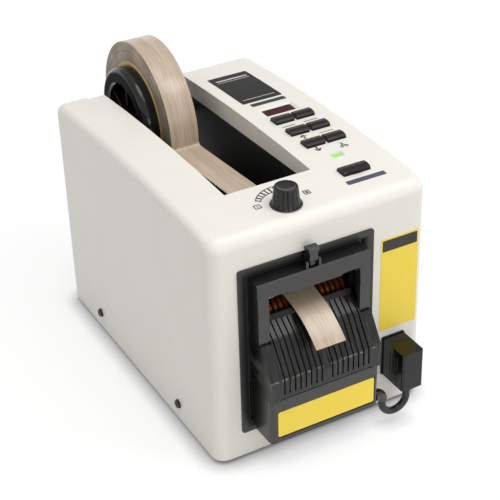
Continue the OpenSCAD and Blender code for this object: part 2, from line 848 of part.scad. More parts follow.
module feed_motor() {
    x0 = tape_x - frame_in;
    place() color([0.6, 0.62, 0.64]) difference() {
        union() {
            rod_x(feed_motor_r, x0, x0 + 28, drive_y, drive_z);
            rod_x(feed_motor_r - 5, x0 + 28, x0 + 31, drive_y, drive_z);
        }
        rod_x(motor_shaft_r + run, x0 - over, x0 + 10, drive_y, drive_z);
    }
}

module drive_gear() {
    place() color([0.85, 0.83, 0.75]) {
        translate([0, drive_y, drive_z]) bar_x(gear_x - gear_t, gear_x)
            rotate(drive_ang + 180 + 180 / drive_teeth) gear_outline(drive_teeth);
        rod_x(motor_shaft_r, gear_x - gear_t, tape_x - frame_in + 9, drive_y, drive_z);
    }
}

// Black surround whose lip rolls into the opening for the cutter unit
module unit_bezel() {
    half = bezel_w / 2;
    steps = 5;
    narrow = function (i) 1 - sin(90 * i / steps);
    depth = function (i) (ledge_y + bezel_proud) * (1 - cos(90 * i / steps)) - bezel_proud;
    ear = 2.4;
    ledge_half = unit_w / 2 - ledge_in;
    place() color(black_plastic) difference() {
        union() {
            bar_y(-bezel_proud, 0) soft_rect(tape_x - half, tape_x + half, bezel_low, bezel_top, 1.6);
            box(tape_x - open_half - sleeve_x, tape_x + open_half + sleeve_x, -0.1, sleeve_d,
                open_low - sleeve_z, open_top + sleeve_z);
            for (s = [0, 1]) mirror_on_tape(s) box(tape_x + latch_slot / 2, tape_x + latch_slot / 2 + ear,
                sleeve_d - 0.1, latch_y + 3, open_top + 0.2, latch_z + 3);
        }
        // Way through for the unit, with a ledge left behind its sides and its top
        box(tape_x - open_half, tape_x + open_half, -2 * bezel_proud, ledge_y, open_low, open_top);
        box(tape_x - ledge_half, tape_x + ledge_half, 0, sleeve_d + over, open_low, hood_top - 2.6);
        box(unit_left - gap, unit_right + gap, 0, sleeve_d + over, open_low, seam_z + 0.6);
        // Roll from the rim to the ledge
        for (i = [0 : steps - 1]) hull() for (j = [i, i + 1]) let (x = open_half + sleeve_x * narrow(j))
            box(tape_x - x, tape_x + x, depth(j) - 0.01, depth(j),
                open_low - sleeve_z * narrow(j), open_top + sleeve_z * narrow(j));
        box(tape_x - latch_slot / 2, tape_x + latch_slot / 2, -2 * bezel_proud, sleeve_d + over,
            hood_top + 0.4, bezel_top + over);
        rod_x(latch_pin_r + 0.02, -body_w, body_w, latch_y, latch_z);
    }
}

// Depth of the hood's leaning front face at a height
function hood_face(z) = -hood_reach - (leg_reach - hood_reach) * (hood_top - z) / (hood_top - hood_low);

module cutter_hood() {
    front = [[hood_face(hood_top), hood_top], [hood_face(hood_low), hood_low]];
    shell = [front[0] + [0.6, 0], front[0] - [0, 0.6], front[1], front[1] + [hood_t, 0],
        front[0] + [hood_t, 0]];
    cheek_back = ledge_y - gap;
    header_back = -hood_reach + hood_t;
    step_z = 97.6;
    post_w = 1.5;
    post_x = tape_x + latch_w / 2 + 0.7;
    place() color(black_plastic) difference() {
        union() {
            bar_x(unit_left, unit_right) polygon(shell);
            // Cheeks that carry the hood on the unit's sides
            for (s = [0, 1]) mirror_on_tape(s) bar_x(unit_right - 2.4, unit_right)
                polygon([front[0] + [1, 0], front[1] + [1, 0], [cheek_back, hood_low],
                    [cheek_back, hood_top - 0.4]]);
            // Roof back to the surround's ledge, and a rib that stiffens the header
            box(unit_left, unit_right, -hood_reach + 2, cheek_back, hood_top - 2.4, hood_top - 0.4);
            bar_x(unit_left + 1, unit_right - 1) polygon([[header_back - 1, hood_top - 1.6],
                [header_back - 1, window_top + 1.4], [fixed_y, window_top + 1.4], [fixed_y, hood_top - 1.6]]);
            // Posts on both sides of the latch
            for (s = [0, 1]) mirror_on_tape(s) box(post_x, post_x + post_w,
                -hood_reach + 0.8, -hood_reach + 2.6, hood_top - 1, hood_top + 4.4);
        }
        // Tape window between the legs
        box(tape_x - window_w / 2, tape_x + window_w / 2, -leg_reach - over, header_back + over,
            hood_low - over, window_top);
        // Pocket for the latch's hook
        box(tape_x - latch_w / 2, tape_x + latch_w / 2, -hood_reach + 1, header_back + over,
            hood_top - 3.4, hood_top + over);
        // Step across the legs
        for (s = [0, 1]) mirror_on_tape(s) box(unit_right - leg_w - over, unit_right + over, -leg_reach - over,
            hood_face(step_z) + 0.5, hood_low - over, step_z);
        // Raised upper ends of the window
        for (s = [0, 1]) mirror_on_tape(s) box(tape_x + window_w / 2 - 12, tape_x + window_w / 2,
            -leg_reach - over, header_back + over, window_top - over, window_top + 1.2);
    }
}

// Slope of the ramp from its front edge over the bend to its back edge, drawn in by an inset
function ramp_edge(inset) = concat(
    [[-ramp_reach + inset, ramp_low + inset * (sin(slope_low) - 1) / cos(slope_low)]],
    [for (i = [0 : 6]) ramp_mid + (ramp_round - inset) * outward(slope_low + (slope_high - slope_low) * i / 6)],
    [[ramp_back, ramp_crest - inset / cos(slope_high)]]);

// Ribbed ramp that carries the paid out tape
module outlet_ramp() {
    pitch = window_w / groove_count;
    skin = 2.4;
    deep = skin + groove_d;
    slot_low = seam_z + 4;
    seam_gap = 1.7;
    edge = 0.8;
    outer = ramp_edge(0);
    inner = ramp_edge(groove_d);
    hollow = ramp_edge(deep);
    last = len(outer) - 1;
    front = [[-ramp_reach, seam_z], [-ramp_reach, ramp_low - edge],
        [-ramp_reach, ramp_low] - edge * [-cos(slope_low), -sin(slope_low)]];
    groove = concat([[-ramp_reach - over, slot_low]], ramp_edge(-over),
        [for (i = [last : -1 : 0]) inner[i]], [[inner[0][0], slot_low]]);
    facet_w = 5.6;
    facet_l = 8.6;
    facet_in = 1.2;
    place() color(black_plastic) difference() {
        union() {
            difference() {
                bar_x(unit_left, unit_right)
                    polygon(concat(front, [for (i = [1 : last]) outer[i]], [[ramp_back, seam_z]]));
                // Hollow behind the skin, open at the back and below
                bar_x(unit_left + skin, unit_right - skin) polygon(concat(
                    [[hollow[0][0], seam_z - over]], hollow,
                    [[ramp_back + over, hollow[last][1]], [ramp_back + over, seam_z - over]]));
            }
            // Wall that the fixed blade is screwed to
            box(unit_left + 1, unit_right - 1, ramp_back - 2, ramp_back,
                fixed_top - fixed_h, ramp_crest - deep);
            // Cheeks that reach back to the surround's ledge
            for (s = [0, 1]) mirror_on_tape(s) box(unit_right - ledge_in, unit_right,
                ramp_back - 1, ledge_y - gap, seam_z, hood_low - gap);
        }
        for (i = [0 : groove_count - 1]) let (x = tape_x + (i - (groove_count - 1) / 2) * pitch)
            if (i != (groove_count - 1) / 2) bar_x(x - groove_w / 2, x + groove_w / 2) polygon(groove);
        // Room for the hood's legs
        for (s = [0, 1]) mirror_on_tape(s) box(unit_right - leg_w - gap, unit_right + over, -leg_reach - over,
            ledge_y, hood_low - gap, ramp_crest + over);
        // Shadow gap over the front block
        box(tape_x - window_w / 2, tape_x + window_w / 2, -ramp_reach - over, -ramp_reach + 1.6,
            seam_z - over, seam_z + seam_gap);
        // Facet in the middle of the front edge
        translate([tape_x, -ramp_reach + facet_in, ramp_low]) rotate([slope_low + 8, 0, 0])
            linear_extrude(2 * facet_in + over)
            polygon([[-facet_w / 2, -3], [facet_w / 2, -3], [0.6, facet_l], [-0.6, facet_l]]);
    }
}

// Block that hides the blade's drive and takes the lead
module front_block() {
    skin = 2.4;
    r = 3.4;
    chamfer = 0.8;
    step_y = -bezel_proud - 2.4;
    in_low = open_low + 0.8;
    back = frame_y - slip;
    top = seam_z - gap;
    place() color(black_plastic) difference() {
        union() {
            translate([0, 0, block_low + over]) linear_extrude(top - block_low - over)
                soft_rect(unit_left, unit_right, -block_reach, step_y + r, r);
            translate([0, 0, block_low]) linear_extrude(over + 0.1) soft_rect(unit_left + chamfer,
                unit_right - chamfer, -block_reach + chamfer, step_y + r - chamfer, r - chamfer);
            box(unit_left, unit_right, step_y - 1, back, in_low, top);
        }
        // Ledge so that the block clears the surround's lower lip
        box(unit_left - over, unit_right + over, step_y, back + over, block_low - over, in_low);
        // Inside
        box(unit_left + skin, unit_right - skin, -block_reach + skin, back + over, in_low + skin, top + over);
        // Sunk field on the front
        bar_y(-block_reach - over, -block_reach + 0.4)
            soft_rect(unit_left + 4, unit_right - 2.6, block_low + 3.6, seam_z - 6.4, 1.6);
        rod_x(lead_d / 2 + slip, unit_right - 5, unit_right + over, lead_y, lead_z);
    }
}

// Plate behind the cutter unit that holds its motor
module cutter_frame() {
    head = crank_z + cut_motor_r + 5;
    x = unit_w / 2 - 0.6;
    rail = blade_w / 2 + gap;
    rail_t = 1.6;
    place() color(steel) difference() {
        union() {
            box(tape_x - x, tape_x + x, frame_y, frame_y + frame_t, open_low + 2, head);
            // Rails that the blade's yoke slides between
            for (s = [0, 1]) mirror_on_tape(s) box(tape_x + rail, tape_x + rail + rail_t,
                blade_y, frame_y + 0.1, seam_z + 2, head);
        }
        rod_y(motor_shaft_r + 2, 0, 2 * frame_y, tape_x, crank_z);
    }
}

module fixed_blade() {
    half = window_w / 2 - 0.6;
    y1 = fixed_y + blade_t;
    place() color(steel) bar_x(tape_x - half, tape_x + half) polygon([[fixed_y, fixed_top - fixed_h],
        [y1, fixed_top - fixed_h], [y1, fixed_top], [y1 - 0.5, fixed_top], [fixed_y, fixed_top - 1.6]]);
}

module moving_blade() {
    half = blade_w / 2;
    top = blade_rest + blade_h;
    place() color(steel) bar_y(blade_y, blade_back) polygon([[tape_x - half, top], [tape_x - half, blade_rest],
        [tape_x, blade_rest + blade_dip], [tape_x + half, blade_rest], [tape_x + half, top]]);
}

// Yoke that pulls the blade down, with a long slot for the crank's pin
module blade_carrier() {
    half = blade_w / 2;
    arm = 2.4;
    slot_z = crank_z + crank_r;
    slot_h = pin_r + 0.22 * crank_r + slip;
    slot_w = crank_r + pin_r + 1;
    low = slot_z - slot_h - 3.5;
    place() color([0.55, 0.56, 0.58]) difference() {
        bar_y(blade_back, carrier_back) {
            translate([tape_x - half, low]) square([blade_w, 2 * (slot_z - low)]);
            for (x = [tape_x - half, tape_x + half - arm]) translate([x, low])
                square([arm, blade_rest + blade_h - low]);
        }
        bar_y(blade_back - over, carrier_back + over)
            soft_rect(tape_x - slot_w, tape_x + slot_w, slot_z - slot_h, slot_z + slot_h, slot_h - 0.05);
    }
}

module cutter_motor() {
    y0 = frame_y + frame_t;
    place() color([0.6, 0.62, 0.64]) difference() {
        union() {
            rod_y(cut_motor_r, y0, y0 + 16, tape_x, crank_z);
            rod_y(cut_motor_r - 1, y0 + 16, y0 + 38, tape_x, crank_z);
        }
        rod_y(motor_shaft_r + run, y0 - over, y0 + 10, tape_x, crank_z);
    }
}

module cutter_crank() {
    place() color([0.75, 0.6, 0.3]) {
        rod_y(crank_r + pin_r + 1.2, crank_y, crank_y + crank_t, tape_x, crank_z);
        rod_y(pin_r, blade_back + 0.1, crank_y + 0.1, tape_x, crank_z + crank_r);
        rod_y(motor_shaft_r, crank_y, frame_y + frame_t + 9, tape_x, crank_z);
    }
}

// Catch with a finger tab that holds the unit's hood
module latch() {
    half = latch_w / 2;
    front = -hood_reach + 0.6;
    back = front + 4.6;
    arm = 1.2;
    top = bezel_top + 5.2;
    chin = latch_z - arm + 1.2;
    roof = 0.7;
    place() color(black_plastic) difference() {
        union() {
            bar_x(tape_x - half, tape_x + half) polygon([[latch_y, latch_z - arm], [latch_y, latch_z + arm],
                [back, latch_z + arm], [back, top - 0.6], [front, top - 0.6], [front, chin],
                [front + 1.2, latch_z - arm]]);
            // Roof over the finger tab
            bar_x(tape_x - half - roof, tape_x + half + roof) polygon([[front - 0.5, top - 2.4],
                [front - 0.5, top - 1.2], [front + 0.7, top], [back - 0.4, top], [back + 0.6, top - 0.8],
                [back + 0.6, top - 2.4]]);
            rod_x(latch_pin_r + 1.6, tape_x - half, tape_x + half, latch_y, latch_z);
            // Hook that drops into the hood's pocket
            box(tape_x - half + 1.2, tape_x + half - 1.2, front + 1.4, front + 3, hood_top - 2.2, latch_z);
        }
        rod_x(latch_pin_r + run, -body_w, body_w, latch_y, latch_z);
    }
}

module latch_pin() {
    half = latch_slot / 2 + 2.4;
    place() color(steel) rod_x(latch_pin_r, tape_x - half, tape_x + half, latch_y, latch_z);
}

module connector_socket() {
    w = plug_w / 2;
    low = plug_top - plug_h;
    place() color(dark_plastic) difference() {
        union() {
            bar_y(-socket_t, 0) soft_rect(plug_x - w - 0.8, plug_x + w + 0.8, low - 0.6, plug_top + 0.8, 1.2);
            box(plug_x - w + 2 + slip, plug_x + w - 2 - slip, 0, wall + 6, low + 4 + slip, plug_top - 4 - slip);
        }
        box(plug_x - w + 4, plug_x + w - 4, -socket_t - over, wall + 4, low + 6, plug_top - 6);
    }
}

module connector_plug() {
    w = plug_w / 2;
    low = plug_top - plug_h;
    r = 1.6;
    place() color(black_plastic) difference() {
        union() {
            translate([0, 0, low]) linear_extrude(plug_h) {
                soft_rect(plug_x - w, plug_x + w, -plug_l - socket_t, -socket_t - 4, r);
                translate([plug_x - w, -socket_t - 6]) square([plug_w, 6]);
            }
            box(plug_x - w + 4 + slip, plug_x + w - 4 - slip, -socket_t - 0.1, wall + 2,
                low + 6 + slip, plug_top - 6 - slip);
            // Boot round the lead
            rod_z(lead_d / 2 + 1.4, low - boot_h, low + over, plug_x, lead_y);
        }
        // Finger grooves on the sides
        for (s = [-1, 1], i = [0 : 3]) translate([plug_x + s * w, -plug_l + 5 + 2.4 * i, low + 4])
            cylinder(r = 0.5, h = plug_h - 8);
        rod_z(lead_d / 2 + slip, low - boot_h - over, low + 4, plug_x, lead_y);
    }
}

// Lead that loops from the front block's side up into the plug
module cutter_lead() {
    r = lead_d / 2;
    place() color(dark_plastic) {
        rod_x(r, unit_right - 4.7, bend_x, lead_y, lead_z);
        translate([bend_x, lead_y, lead_z - lead_bend]) rotate([90, 0, 0]) rotate_extrude(angle = 90)
            translate([lead_bend, 0]) circle(r, $fn = 24);
        rod_z(r, lead_mid_z, lead_z - lead_bend, lead_left, lead_y);
        translate([(plug_x + lead_left) / 2, lead_y, lead_mid_z]) rotate([90, 180, 0])
            rotate_extrude(angle = 180) translate([lead_loop_r, 0]) circle(r, $fn = 24);
        rod_z(r, lead_mid_z, plug_top - plug_h + 3.7, plug_x, lead_y);
    }
}

module speed_knob() {
    z = top_z(knob_y) + 0.4;
    flutes = 16;
    flute_r = 0.8;
    foot_r = knob_top_r + 1.2;
    place() translate([knob_x, knob_y, z]) color(black_plastic) difference() {
        rotate_extrude() difference() {
            polygon([[0, 0], [knob_r, 0], [knob_r, 1.2], [knob_r - 0.6, 1.9], [foot_r, 2.2],
                [knob_top_r + 0.3, knob_h - 0.9], [knob_top_r - 0.6, knob_h], [knob_top_r - 1.6, knob_h - 0.6],
                [0, knob_h - 0.6]]);
            translate([-over, -over]) square([pot_shaft_r + run + over, knob_h - 2 + over]);
        }
        for (i = [0 : flutes - 1]) rotate(i * 360 / flutes) translate([foot_r + 0.35, 0, 2.3])
            rotate([0, -5.8, 0]) cylinder(r = flute_r, h = knob_h);
        // Pointer line
        translate([-0.4, knob_top_r - 4, knob_h - 1.1]) cube([0.8, 6, 2]);
    }
}

module knob_shaft() {
    z = top_z(knob_y);
    place() color(steel) rod_z(pot_shaft_r, z - wall - 7, z + 0.4 + knob_h - 2.1, knob_x, knob_y);
}

module speed_pot() {
    z = top_z(knob_y - 9) - wall - 0.4;
    place() color([0.45, 0.46, 0.48]) difference() {
        union() {
            rod_z(8, z - 9, z, knob_x, knob_y);
            box(knob_x - 6, knob_x + 6, knob_y + 6, knob_y + 14, z - 4, z - 2.4);
        }
        rod_z(pot_shaft_r + run, z - 7.4, z + over, knob_x, knob_y);
    }
}

// Key cap with a crowned top and a flange that keeps it under the cover
module key(x, y, w, bulge) {
    top = top_z(y) + key_h;
    under = top_z(y) - wall - gap - 0.3;
    foot = board_z + board_t + switch_h + key_travel + 0.2;
    l = key_l / 2;
    lip_r = 15;
    place() color(dark_plastic) translate([x, y, 0]) {
        bar_x(-w / 2, w / 2) polygon([[-l, under - key_flange], [l, under - key_flange], [l, top - 1.3],
            [l - 1, top - 0.4], [0, top], [-l + 1, top - 0.4], [-l, top - 1.3]]);
        translate([0, 0, under - key_flange]) linear_extrude(key_flange)
            square([w + 1.6, key_l + 2], center = true);
        rod_z(1.8, foot, under, 0, 0);
        // Bowed lip along the front of the long key, clear of the cover when pressed
        if (bulge) translate([0, lip_r - 1 - l - 0.5 * key_slip, top - key_h + key_travel + 0.4])
            intersection() {
            cylinder(r = lip_r, h = key_h - key_travel - 0.9);
            translate([0, 1 - lip_r, 0]) cube([w - 4, 4, 4 * key_h], center = true);
        }
    }
}

module key_1() { key(key_x[0], key_rows[0], key_w, false); }
module key_2() { key(key_x[1], key_rows[0], key_w, false); }
module key_3() { key(key_x[0], key_rows[1], key_w, false); }
module key_4() { key(key_x[1], key_rows[1], key_w, false); }
module key_5() { key(key_x[0], key_rows[2], key_w, false); }
module key_6() { key(key_x[1], key_rows[2], key_w, false); }
module auto_key() { key(auto_x, auto_y, auto_w, true); }

// Board under the console with a switch below each key
module keypad_board() {
    face = board_z + board_t;
    place() color(board_green) {
        difference() {
            box(board_x0, board_x1, auto_y - 9, display_y + 20, board_z, face);
            for (x = post_x, y = post_y) rod_z(0.9, board_z - over, face + over, x, y);
        }
        for (x = key_x, y = key_rows) rod_z(2.4, face, face + switch_h, x, y);
        rod_z(2.4, face, face + switch_h, auto_x, auto_y);
        rod_z(2, face, top_z(lamp_y) - wall - 1, lamp_x, lamp_y);
    }
}

module display_module() {
    z = pane_z - pane_t - 0.4;
    w = display_w / 2 + 1;
    l = display_l / 2 + 1;
    place() color(dark_plastic) {
        box(display_x - w, display_x + w, display_y - l, display_y + l, board_z + board_t, z - 0.1);
        for (i = [-1 : 1]) box(display_x + 6 * i - 2.2, display_x + 6 * i + 2.2, display_y - 3, display_y + 3,
            z - 0.2, z + 0.2);
    }
}

module display_window() {
    w = display_w / 2 + window_lap;
    l = display_l / 2 + window_lap;
    lens_w = display_w / 2 - slip;
    lens_l = display_l / 2 - slip;
    lens_top = top_z(display_y + lens_l) - 1;
    place() color([0.3, 0.08, 0.14]) {
        box(display_x - w, display_x + w, display_y - l, display_y + l, pane_z - pane_t, pane_z);
        box(display_x - lens_w, display_x + lens_w, display_y - lens_l, display_y + lens_l,
            pane_z - 0.1, lens_top);
    }
}

module power_lamp() {
    z = top_z(lamp_y);
    w = lamp_w / 2;
    l = lamp_l / 2;
    place() color([0.6, 0.95, 0.5]) {
        box(lamp_x - w + slip, lamp_x + w - slip, lamp_y - l + slip, lamp_y + l - slip,
            z - wall - 0.8, z - 0.9);
        box(lamp_x - w - 1, lamp_x + w + 1, lamp_y - l - 1, lamp_y + l + 1, z - wall - 0.9, z - wall - gap);
    }
}

// Power socket in the back, with the space for a plug
module power_inlet() {
    w = inlet_w / 2 - slip;
    h = inlet_h / 2 - slip;
    skin = 1.8;
    place() color(dark_plastic) difference() {
        union() {
            bar_y(body_l, body_l + 1.6)
                soft_rect(inlet_x - w - 3, inlet_x + w + 3, inlet_z - h - 2, inlet_z + h + 2, 2);
            box(inlet_x - w, inlet_x + w, body_l - 22, body_l + 0.1, inlet_z - h, inlet_z + h);
        }
        box(inlet_x - w + skin, inlet_x + w - skin, body_l - 16, body_l + 2 * over,
            inlet_z - h + skin, inlet_z + h - skin);
    }
    place() color(steel) for (p = [[-7, 1.4], [0, 4.2], [7, 1.4]]) box(inlet_x + p[0] - 1, inlet_x + p[0] + 1,
        body_l - 16.5, body_l - 3, inlet_z + p[1] - 1.6, inlet_z + p[1] + 2.4);
}

module switch_frame() {
    w = rocker_w / 2 - slip;
    h = rocker_h / 2 - slip;
    skin = 1.4;
    rim = 1.6;
    place() color(dark_plastic) difference() {
        union() {
            bar_y(body_l, body_l + 1.4)
                soft_rect(inlet_x - w - rim, inlet_x + w + rim, rocker_z - h - rim, rocker_z + h + rim, 1.2);
            box(inlet_x - w, inlet_x + w, body_l - 16, body_l + 0.1, rocker_z - h, rocker_z + h);
        }
        box(inlet_x - w + skin, inlet_x + w - skin, body_l - 10, body_l + 2 * over,
            rocker_z - h + skin, rocker_z + h - skin);
        rod_x(1.2 + run, inlet_x - w - over, inlet_x + w + over, body_l - 3.4, rocker_z);
    }
}

// Rocker on its two stub pins, tipped to its off side
module power_rocker() {
    w = rocker_w / 2 - slip - 1.7;
    h = rocker_h / 2 - slip - 2;
    y = body_l - 3.4;
    place() color(black_plastic) {
        bar_x(inlet_x - w, inlet_x + w) polygon([[y - 2, rocker_z - 3], [y - 2, rocker_z + 3],
            [y + 1.5, rocker_z + h - 0.4], [y + 3, rocker_z + h - 1], [y + 4.6, rocker_z],
            [y + 6.4, rocker_z - h + 1.6], [y + 4.6, rocker_z - h + 0.6]]);
        rod_x(1.2, inlet_x - w - 1.4, inlet_x + w + 1.4, y, rocker_z);
    }
}

module fuse_cap() {
    place() color(dark_plastic) difference() {
        union() {
            rod_y(fuse_r + 1.2, body_l, body_l + 3, inlet_x, fuse_z);
            rod_y(fuse_r - slip, body_l - 24, body_l + 0.1, inlet_x, fuse_z);
        }
        box(inlet_x - 4, inlet_x + 4, body_l + 2, body_l + 4, fuse_z - 0.6, fuse_z + 0.6);
    }
}

// Steel core with two windows for the coil
module transformer_core() {
    place() color([0.5, 0.5, 0.52]) translate([tape_x, supply_y, plate_low]) difference() {
        box(-trafo_w / 2, trafo_w / 2, -trafo_l / 2, trafo_l / 2, 0, trafo_h);
        for (x = [-2 * trafo_limb, trafo_limb]) box(x, x + trafo_limb, -trafo_l, trafo_l,
            trafo_limb, trafo_h - trafo_limb);
    }
}

module transformer_coil() {
    x = 2 * trafo_limb - slip;
    y = trafo_l / 2 + coil_over;
    place() color([0.85, 0.8, 0.3]) translate([tape_x, supply_y, plate_low]) difference() {
        box(-x, x, -y, y, trafo_limb + slip, trafo_h - trafo_limb - slip);
        box(-trafo_limb, trafo_limb, -trafo_l / 2, trafo_l / 2, 0, trafo_h);
    }
}

// Control board on the chassis's right plate
module main_board() {
    x = tape_x + chassis_in + plate_t;
    face = x + control_gap + board_t;
    y1 = control_y + control_l;
    z1 = control_z + control_h;
    corner = 6;
    mid = control_y + control_l / 2;
    place() {
        color(steel) for (y = [control_y + corner, y1 - corner], z = [control_z + corner, z1 - corner])
            rod_x(2.5, x, x + control_gap, y, z);
        color(board_green) box(x + control_gap, face, control_y, y1, control_z, z1);
        color([0.2, 0.2, 0.2]) {
            box(face, face + 3, mid - 22, mid + 4, control_z + 26, control_z + 38);
            for (i = [-1 : 1]) rod_x(5, face, face + 12, mid + 16 * i, z1 - 18);
            box(face, face + 8, mid + 12, y1 - 8, control_z + 8, control_z + 20);
        }
    }
}

main_cover();
base_plate();
rubber_feet();
cover_screws();
reel_chassis();
reel_axle();
reel_spacers();
reel_hub();
tape_core();
tape_roll();
tape_web();
tape_tongue();
guide_roller();
feed_frame();
roller_bushes();
feed_shaft();
feed_rings();
feed_gear();
pressure_shaft();
pressure_sleeve();
feed_motor();
drive_gear();
unit_bezel();
cutter_hood();
outlet_ramp();
front_block();
cutter_frame();
fixed_blade();
moving_blade();
blade_carrier();
cutter_motor();
cutter_crank();
latch();
latch_pin();
connector_socket();
connector_plug();
cutter_lead();
speed_knob();
knob_shaft();
speed_pot();
key_1();
key_2();
key_3();
key_4();
key_5();
key_6();
auto_key();
keypad_board();
display_module();
display_window();
power_lamp();
power_inlet();
switch_frame();
power_rocker();
fuse_cap();
transformer_core();
transformer_coil();
main_board();
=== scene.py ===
import math
import random

import bmesh
import bpy
from mathutils import Matrix, Vector


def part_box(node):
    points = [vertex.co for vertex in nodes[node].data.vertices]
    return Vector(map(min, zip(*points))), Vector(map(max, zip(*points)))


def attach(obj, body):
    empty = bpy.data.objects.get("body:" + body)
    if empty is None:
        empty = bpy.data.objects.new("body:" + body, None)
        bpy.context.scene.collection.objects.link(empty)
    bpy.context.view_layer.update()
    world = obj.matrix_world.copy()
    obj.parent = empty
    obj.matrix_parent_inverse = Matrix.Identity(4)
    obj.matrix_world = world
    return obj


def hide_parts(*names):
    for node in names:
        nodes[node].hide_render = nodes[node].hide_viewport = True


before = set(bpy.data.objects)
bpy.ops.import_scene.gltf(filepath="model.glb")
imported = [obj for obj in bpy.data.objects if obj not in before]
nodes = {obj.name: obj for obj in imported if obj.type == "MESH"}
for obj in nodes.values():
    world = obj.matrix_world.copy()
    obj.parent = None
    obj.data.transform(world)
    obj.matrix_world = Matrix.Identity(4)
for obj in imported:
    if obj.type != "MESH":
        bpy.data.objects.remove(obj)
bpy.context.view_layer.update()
scene = bpy.context.scene

# The body that carries all that stands still
HOME = "housing"

# Sizes repeated from the part's source, in millimetres: X from the cover's middle, Y from its front face
# and Z from its lower edge
MM = 0.001
FEET = 3.0
CROWN_Z, CROWN_Y, CROWN_R = 149.0, 85.0, 1380.0
TAPE_X, TAPE_W, TAPE_T = -10.4, 19.0, 0.4
REEL_Y, REEL_Z, ROLL_R, CORE_OUT = 193.0, 127.5, 48.8, 36.2
PEEL_Z, WEB_Z = 123.5, 130.1
GUIDE_Y, GUIDE_R = 52.0, 5.0
NIP_Y, PRESS_Z, PRESS_R = 11.0, 100.6, 5.0
ROLLER_GAP, FEED_TILT = 0.3, math.radians(12.5)
TONGUE_Y, TONGUE_REACH, TONGUE_DROOP = 0.1, 25.8, 0.014
RAMP_REACH, RAMP_LOW = 22.2, 62.2
BLOCK_REACH, BLOCK_X, FIELD_DEPTH = 20.8, 25.6, 0.4
PLUG_X, PLUG_LOW = 48.7, 21.8
LEAD_Y, LEAD_Z, LEAD_R, ELBOW_R, LOOP_Z = -16.0, 22.0, 2.3, 4.4, 14.2
KNOB_X, KNOB_Y, KNOB_SEAT, KNOB_H = -13.2, 16.2, 0.4, 11.3
Y_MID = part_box("main_cover")[0].y / -MM


def at(x, y, z):
    """Point of the frame for a place on the part in millimetres."""
    return Vector((x * MM, (y - Y_MID) * MM, (z + FEET) * MM))


def top_z(y):
    """Height of the crowned top."""
    return CROWN_Z - (y - CROWN_Y) ** 2 / (2 * CROWN_R)


def on_top(x, y, height):
    return at(x, y, top_z(y) + height)


def on_front(x, z, height):
    return at(x, -height, z)


def on_block(x, z, height):
    """Place over the floor of the front block's recessed field."""
    return at(x, FIELD_DEPTH - BLOCK_REACH - height, z)


def evenly(start, end, steps):
    """Even values from start to end, both included."""
    return [start + (end - start) * i / steps for i in range(steps + 1)]


# Colours and shader nodes

def linear(level):
    """Linear light of a display level from 0 to 255."""
    level = level / 255.0
    return level / 12.92 if level <= 0.04045 else ((level + 0.055) / 1.055) ** 2.4


def rgb(red, green, blue):
    """Linear colour of a display colour."""
    return (linear(red), linear(green), linear(blue), 1.0)


def scaled(colour, k):
    return tuple(min(1.0, c * k) for c in colour[:3]) + (1.0,)


def add(tree, kind, **values):
    """New node; a value goes to the input of its name, with spaces for underscores, or to the setting."""
    node = tree.nodes.new(kind)
    for key, value in values.items():
        socket = key.replace("_", " ")
        if socket in node.inputs:
            node.inputs[socket].default_value = value
        else:
            setattr(node, key, value)
    return node


def surface(name, **sockets):
    """New material with its node tree and shader; constants go on the shader's own sockets."""
    material = bpy.data.materials.new(name)
    material.use_nodes = True
    tree = material.node_tree
    shader = tree.nodes["Principled BSDF"]
    for key, value in sockets.items():
        shader.inputs[key.replace("_", " ")].default_value = value
    return material, tree, shader


def calculate(tree, kind, operation, terms):
    """Math node whose terms are sockets to link or plain values."""
    node = add(tree, kind, operation=operation)
    for socket, term in zip(node.inputs, terms):
        if isinstance(term, bpy.types.NodeSocket):
            tree.links.new(term, socket)
        else:
            socket.default_value = term
    return node


def number(tree, operation, *terms):
    """Result of a math node on numbers."""
    return calculate(tree, "ShaderNodeMath", operation, terms).outputs["Value"]


def vector(tree, operation, *terms):
    """Result of a math node on vectors."""
    node = calculate(tree, "ShaderNodeVectorMath", operation, terms)
    return node.outputs["Value" if operation in ("LENGTH", "DOT_PRODUCT") else "Vector"]


def blend(tree, first, second, share):
    """Mean of two sockets; share is the weight of the first."""
    rest = number(tree, "MULTIPLY", second, 1 - share)
    return number(tree, "MULTIPLY_ADD", first, share, rest)


def remap(tree, source, span, result, **settings):
    """Source carried from one span of numbers to another."""
    node = add(tree, "ShaderNodeMapRange", From_Min=span[0], From_Max=span[1],
               To_Min=result[0], To_Max=result[1], **settings)
    tree.links.new(source, node.inputs["Value"])
    return node.outputs["Result"]


def noise(tree, scale, detail=4.0, stretch=(1, 1, 1), roughness=0.55):
    """Noise in the object's own space, with features per metre as its scale."""
    coords = add(tree, "ShaderNodeTexCoord")
    mapping = add(tree, "ShaderNodeMapping", Scale=stretch)
    tree.links.new(coords.outputs["Object"], mapping.inputs["Vector"])
    node = add(tree, "ShaderNodeTexNoise", Scale=scale, Detail=detail, Roughness=roughness)
    tree.links.new(mapping.outputs["Vector"], node.inputs["Vector"])
    return node.outputs["Fac"]


def off_axis(tree, point):
    """Distance from a line along X through a point of the frame."""
    coords = add(tree, "ShaderNodeTexCoord")
    moved = vector(tree, "SUBTRACT", coords.outputs["Object"], point)
    return vector(tree, "LENGTH", vector(tree, "MULTIPLY", moved, (0, 1, 1)))


def ramp(tree, source, stops):
    """Colour along a source, from stops of a place and a colour."""
    node = add(tree, "ShaderNodeValToRGB")
    elements = node.color_ramp.elements
    while len(elements) < len(stops):
        elements.new(0.5)
    for element, (place, colour) in zip(elements, stops):
        element.position = place
        element.color = colour
    tree.links.new(source, node.inputs["Fac"])
    return node.outputs["Color"]


def tint(tree, shader, source, stops):
    """Base colour along a source."""
    tree.links.new(ramp(tree, source, stops), shader.inputs["Base Color"])


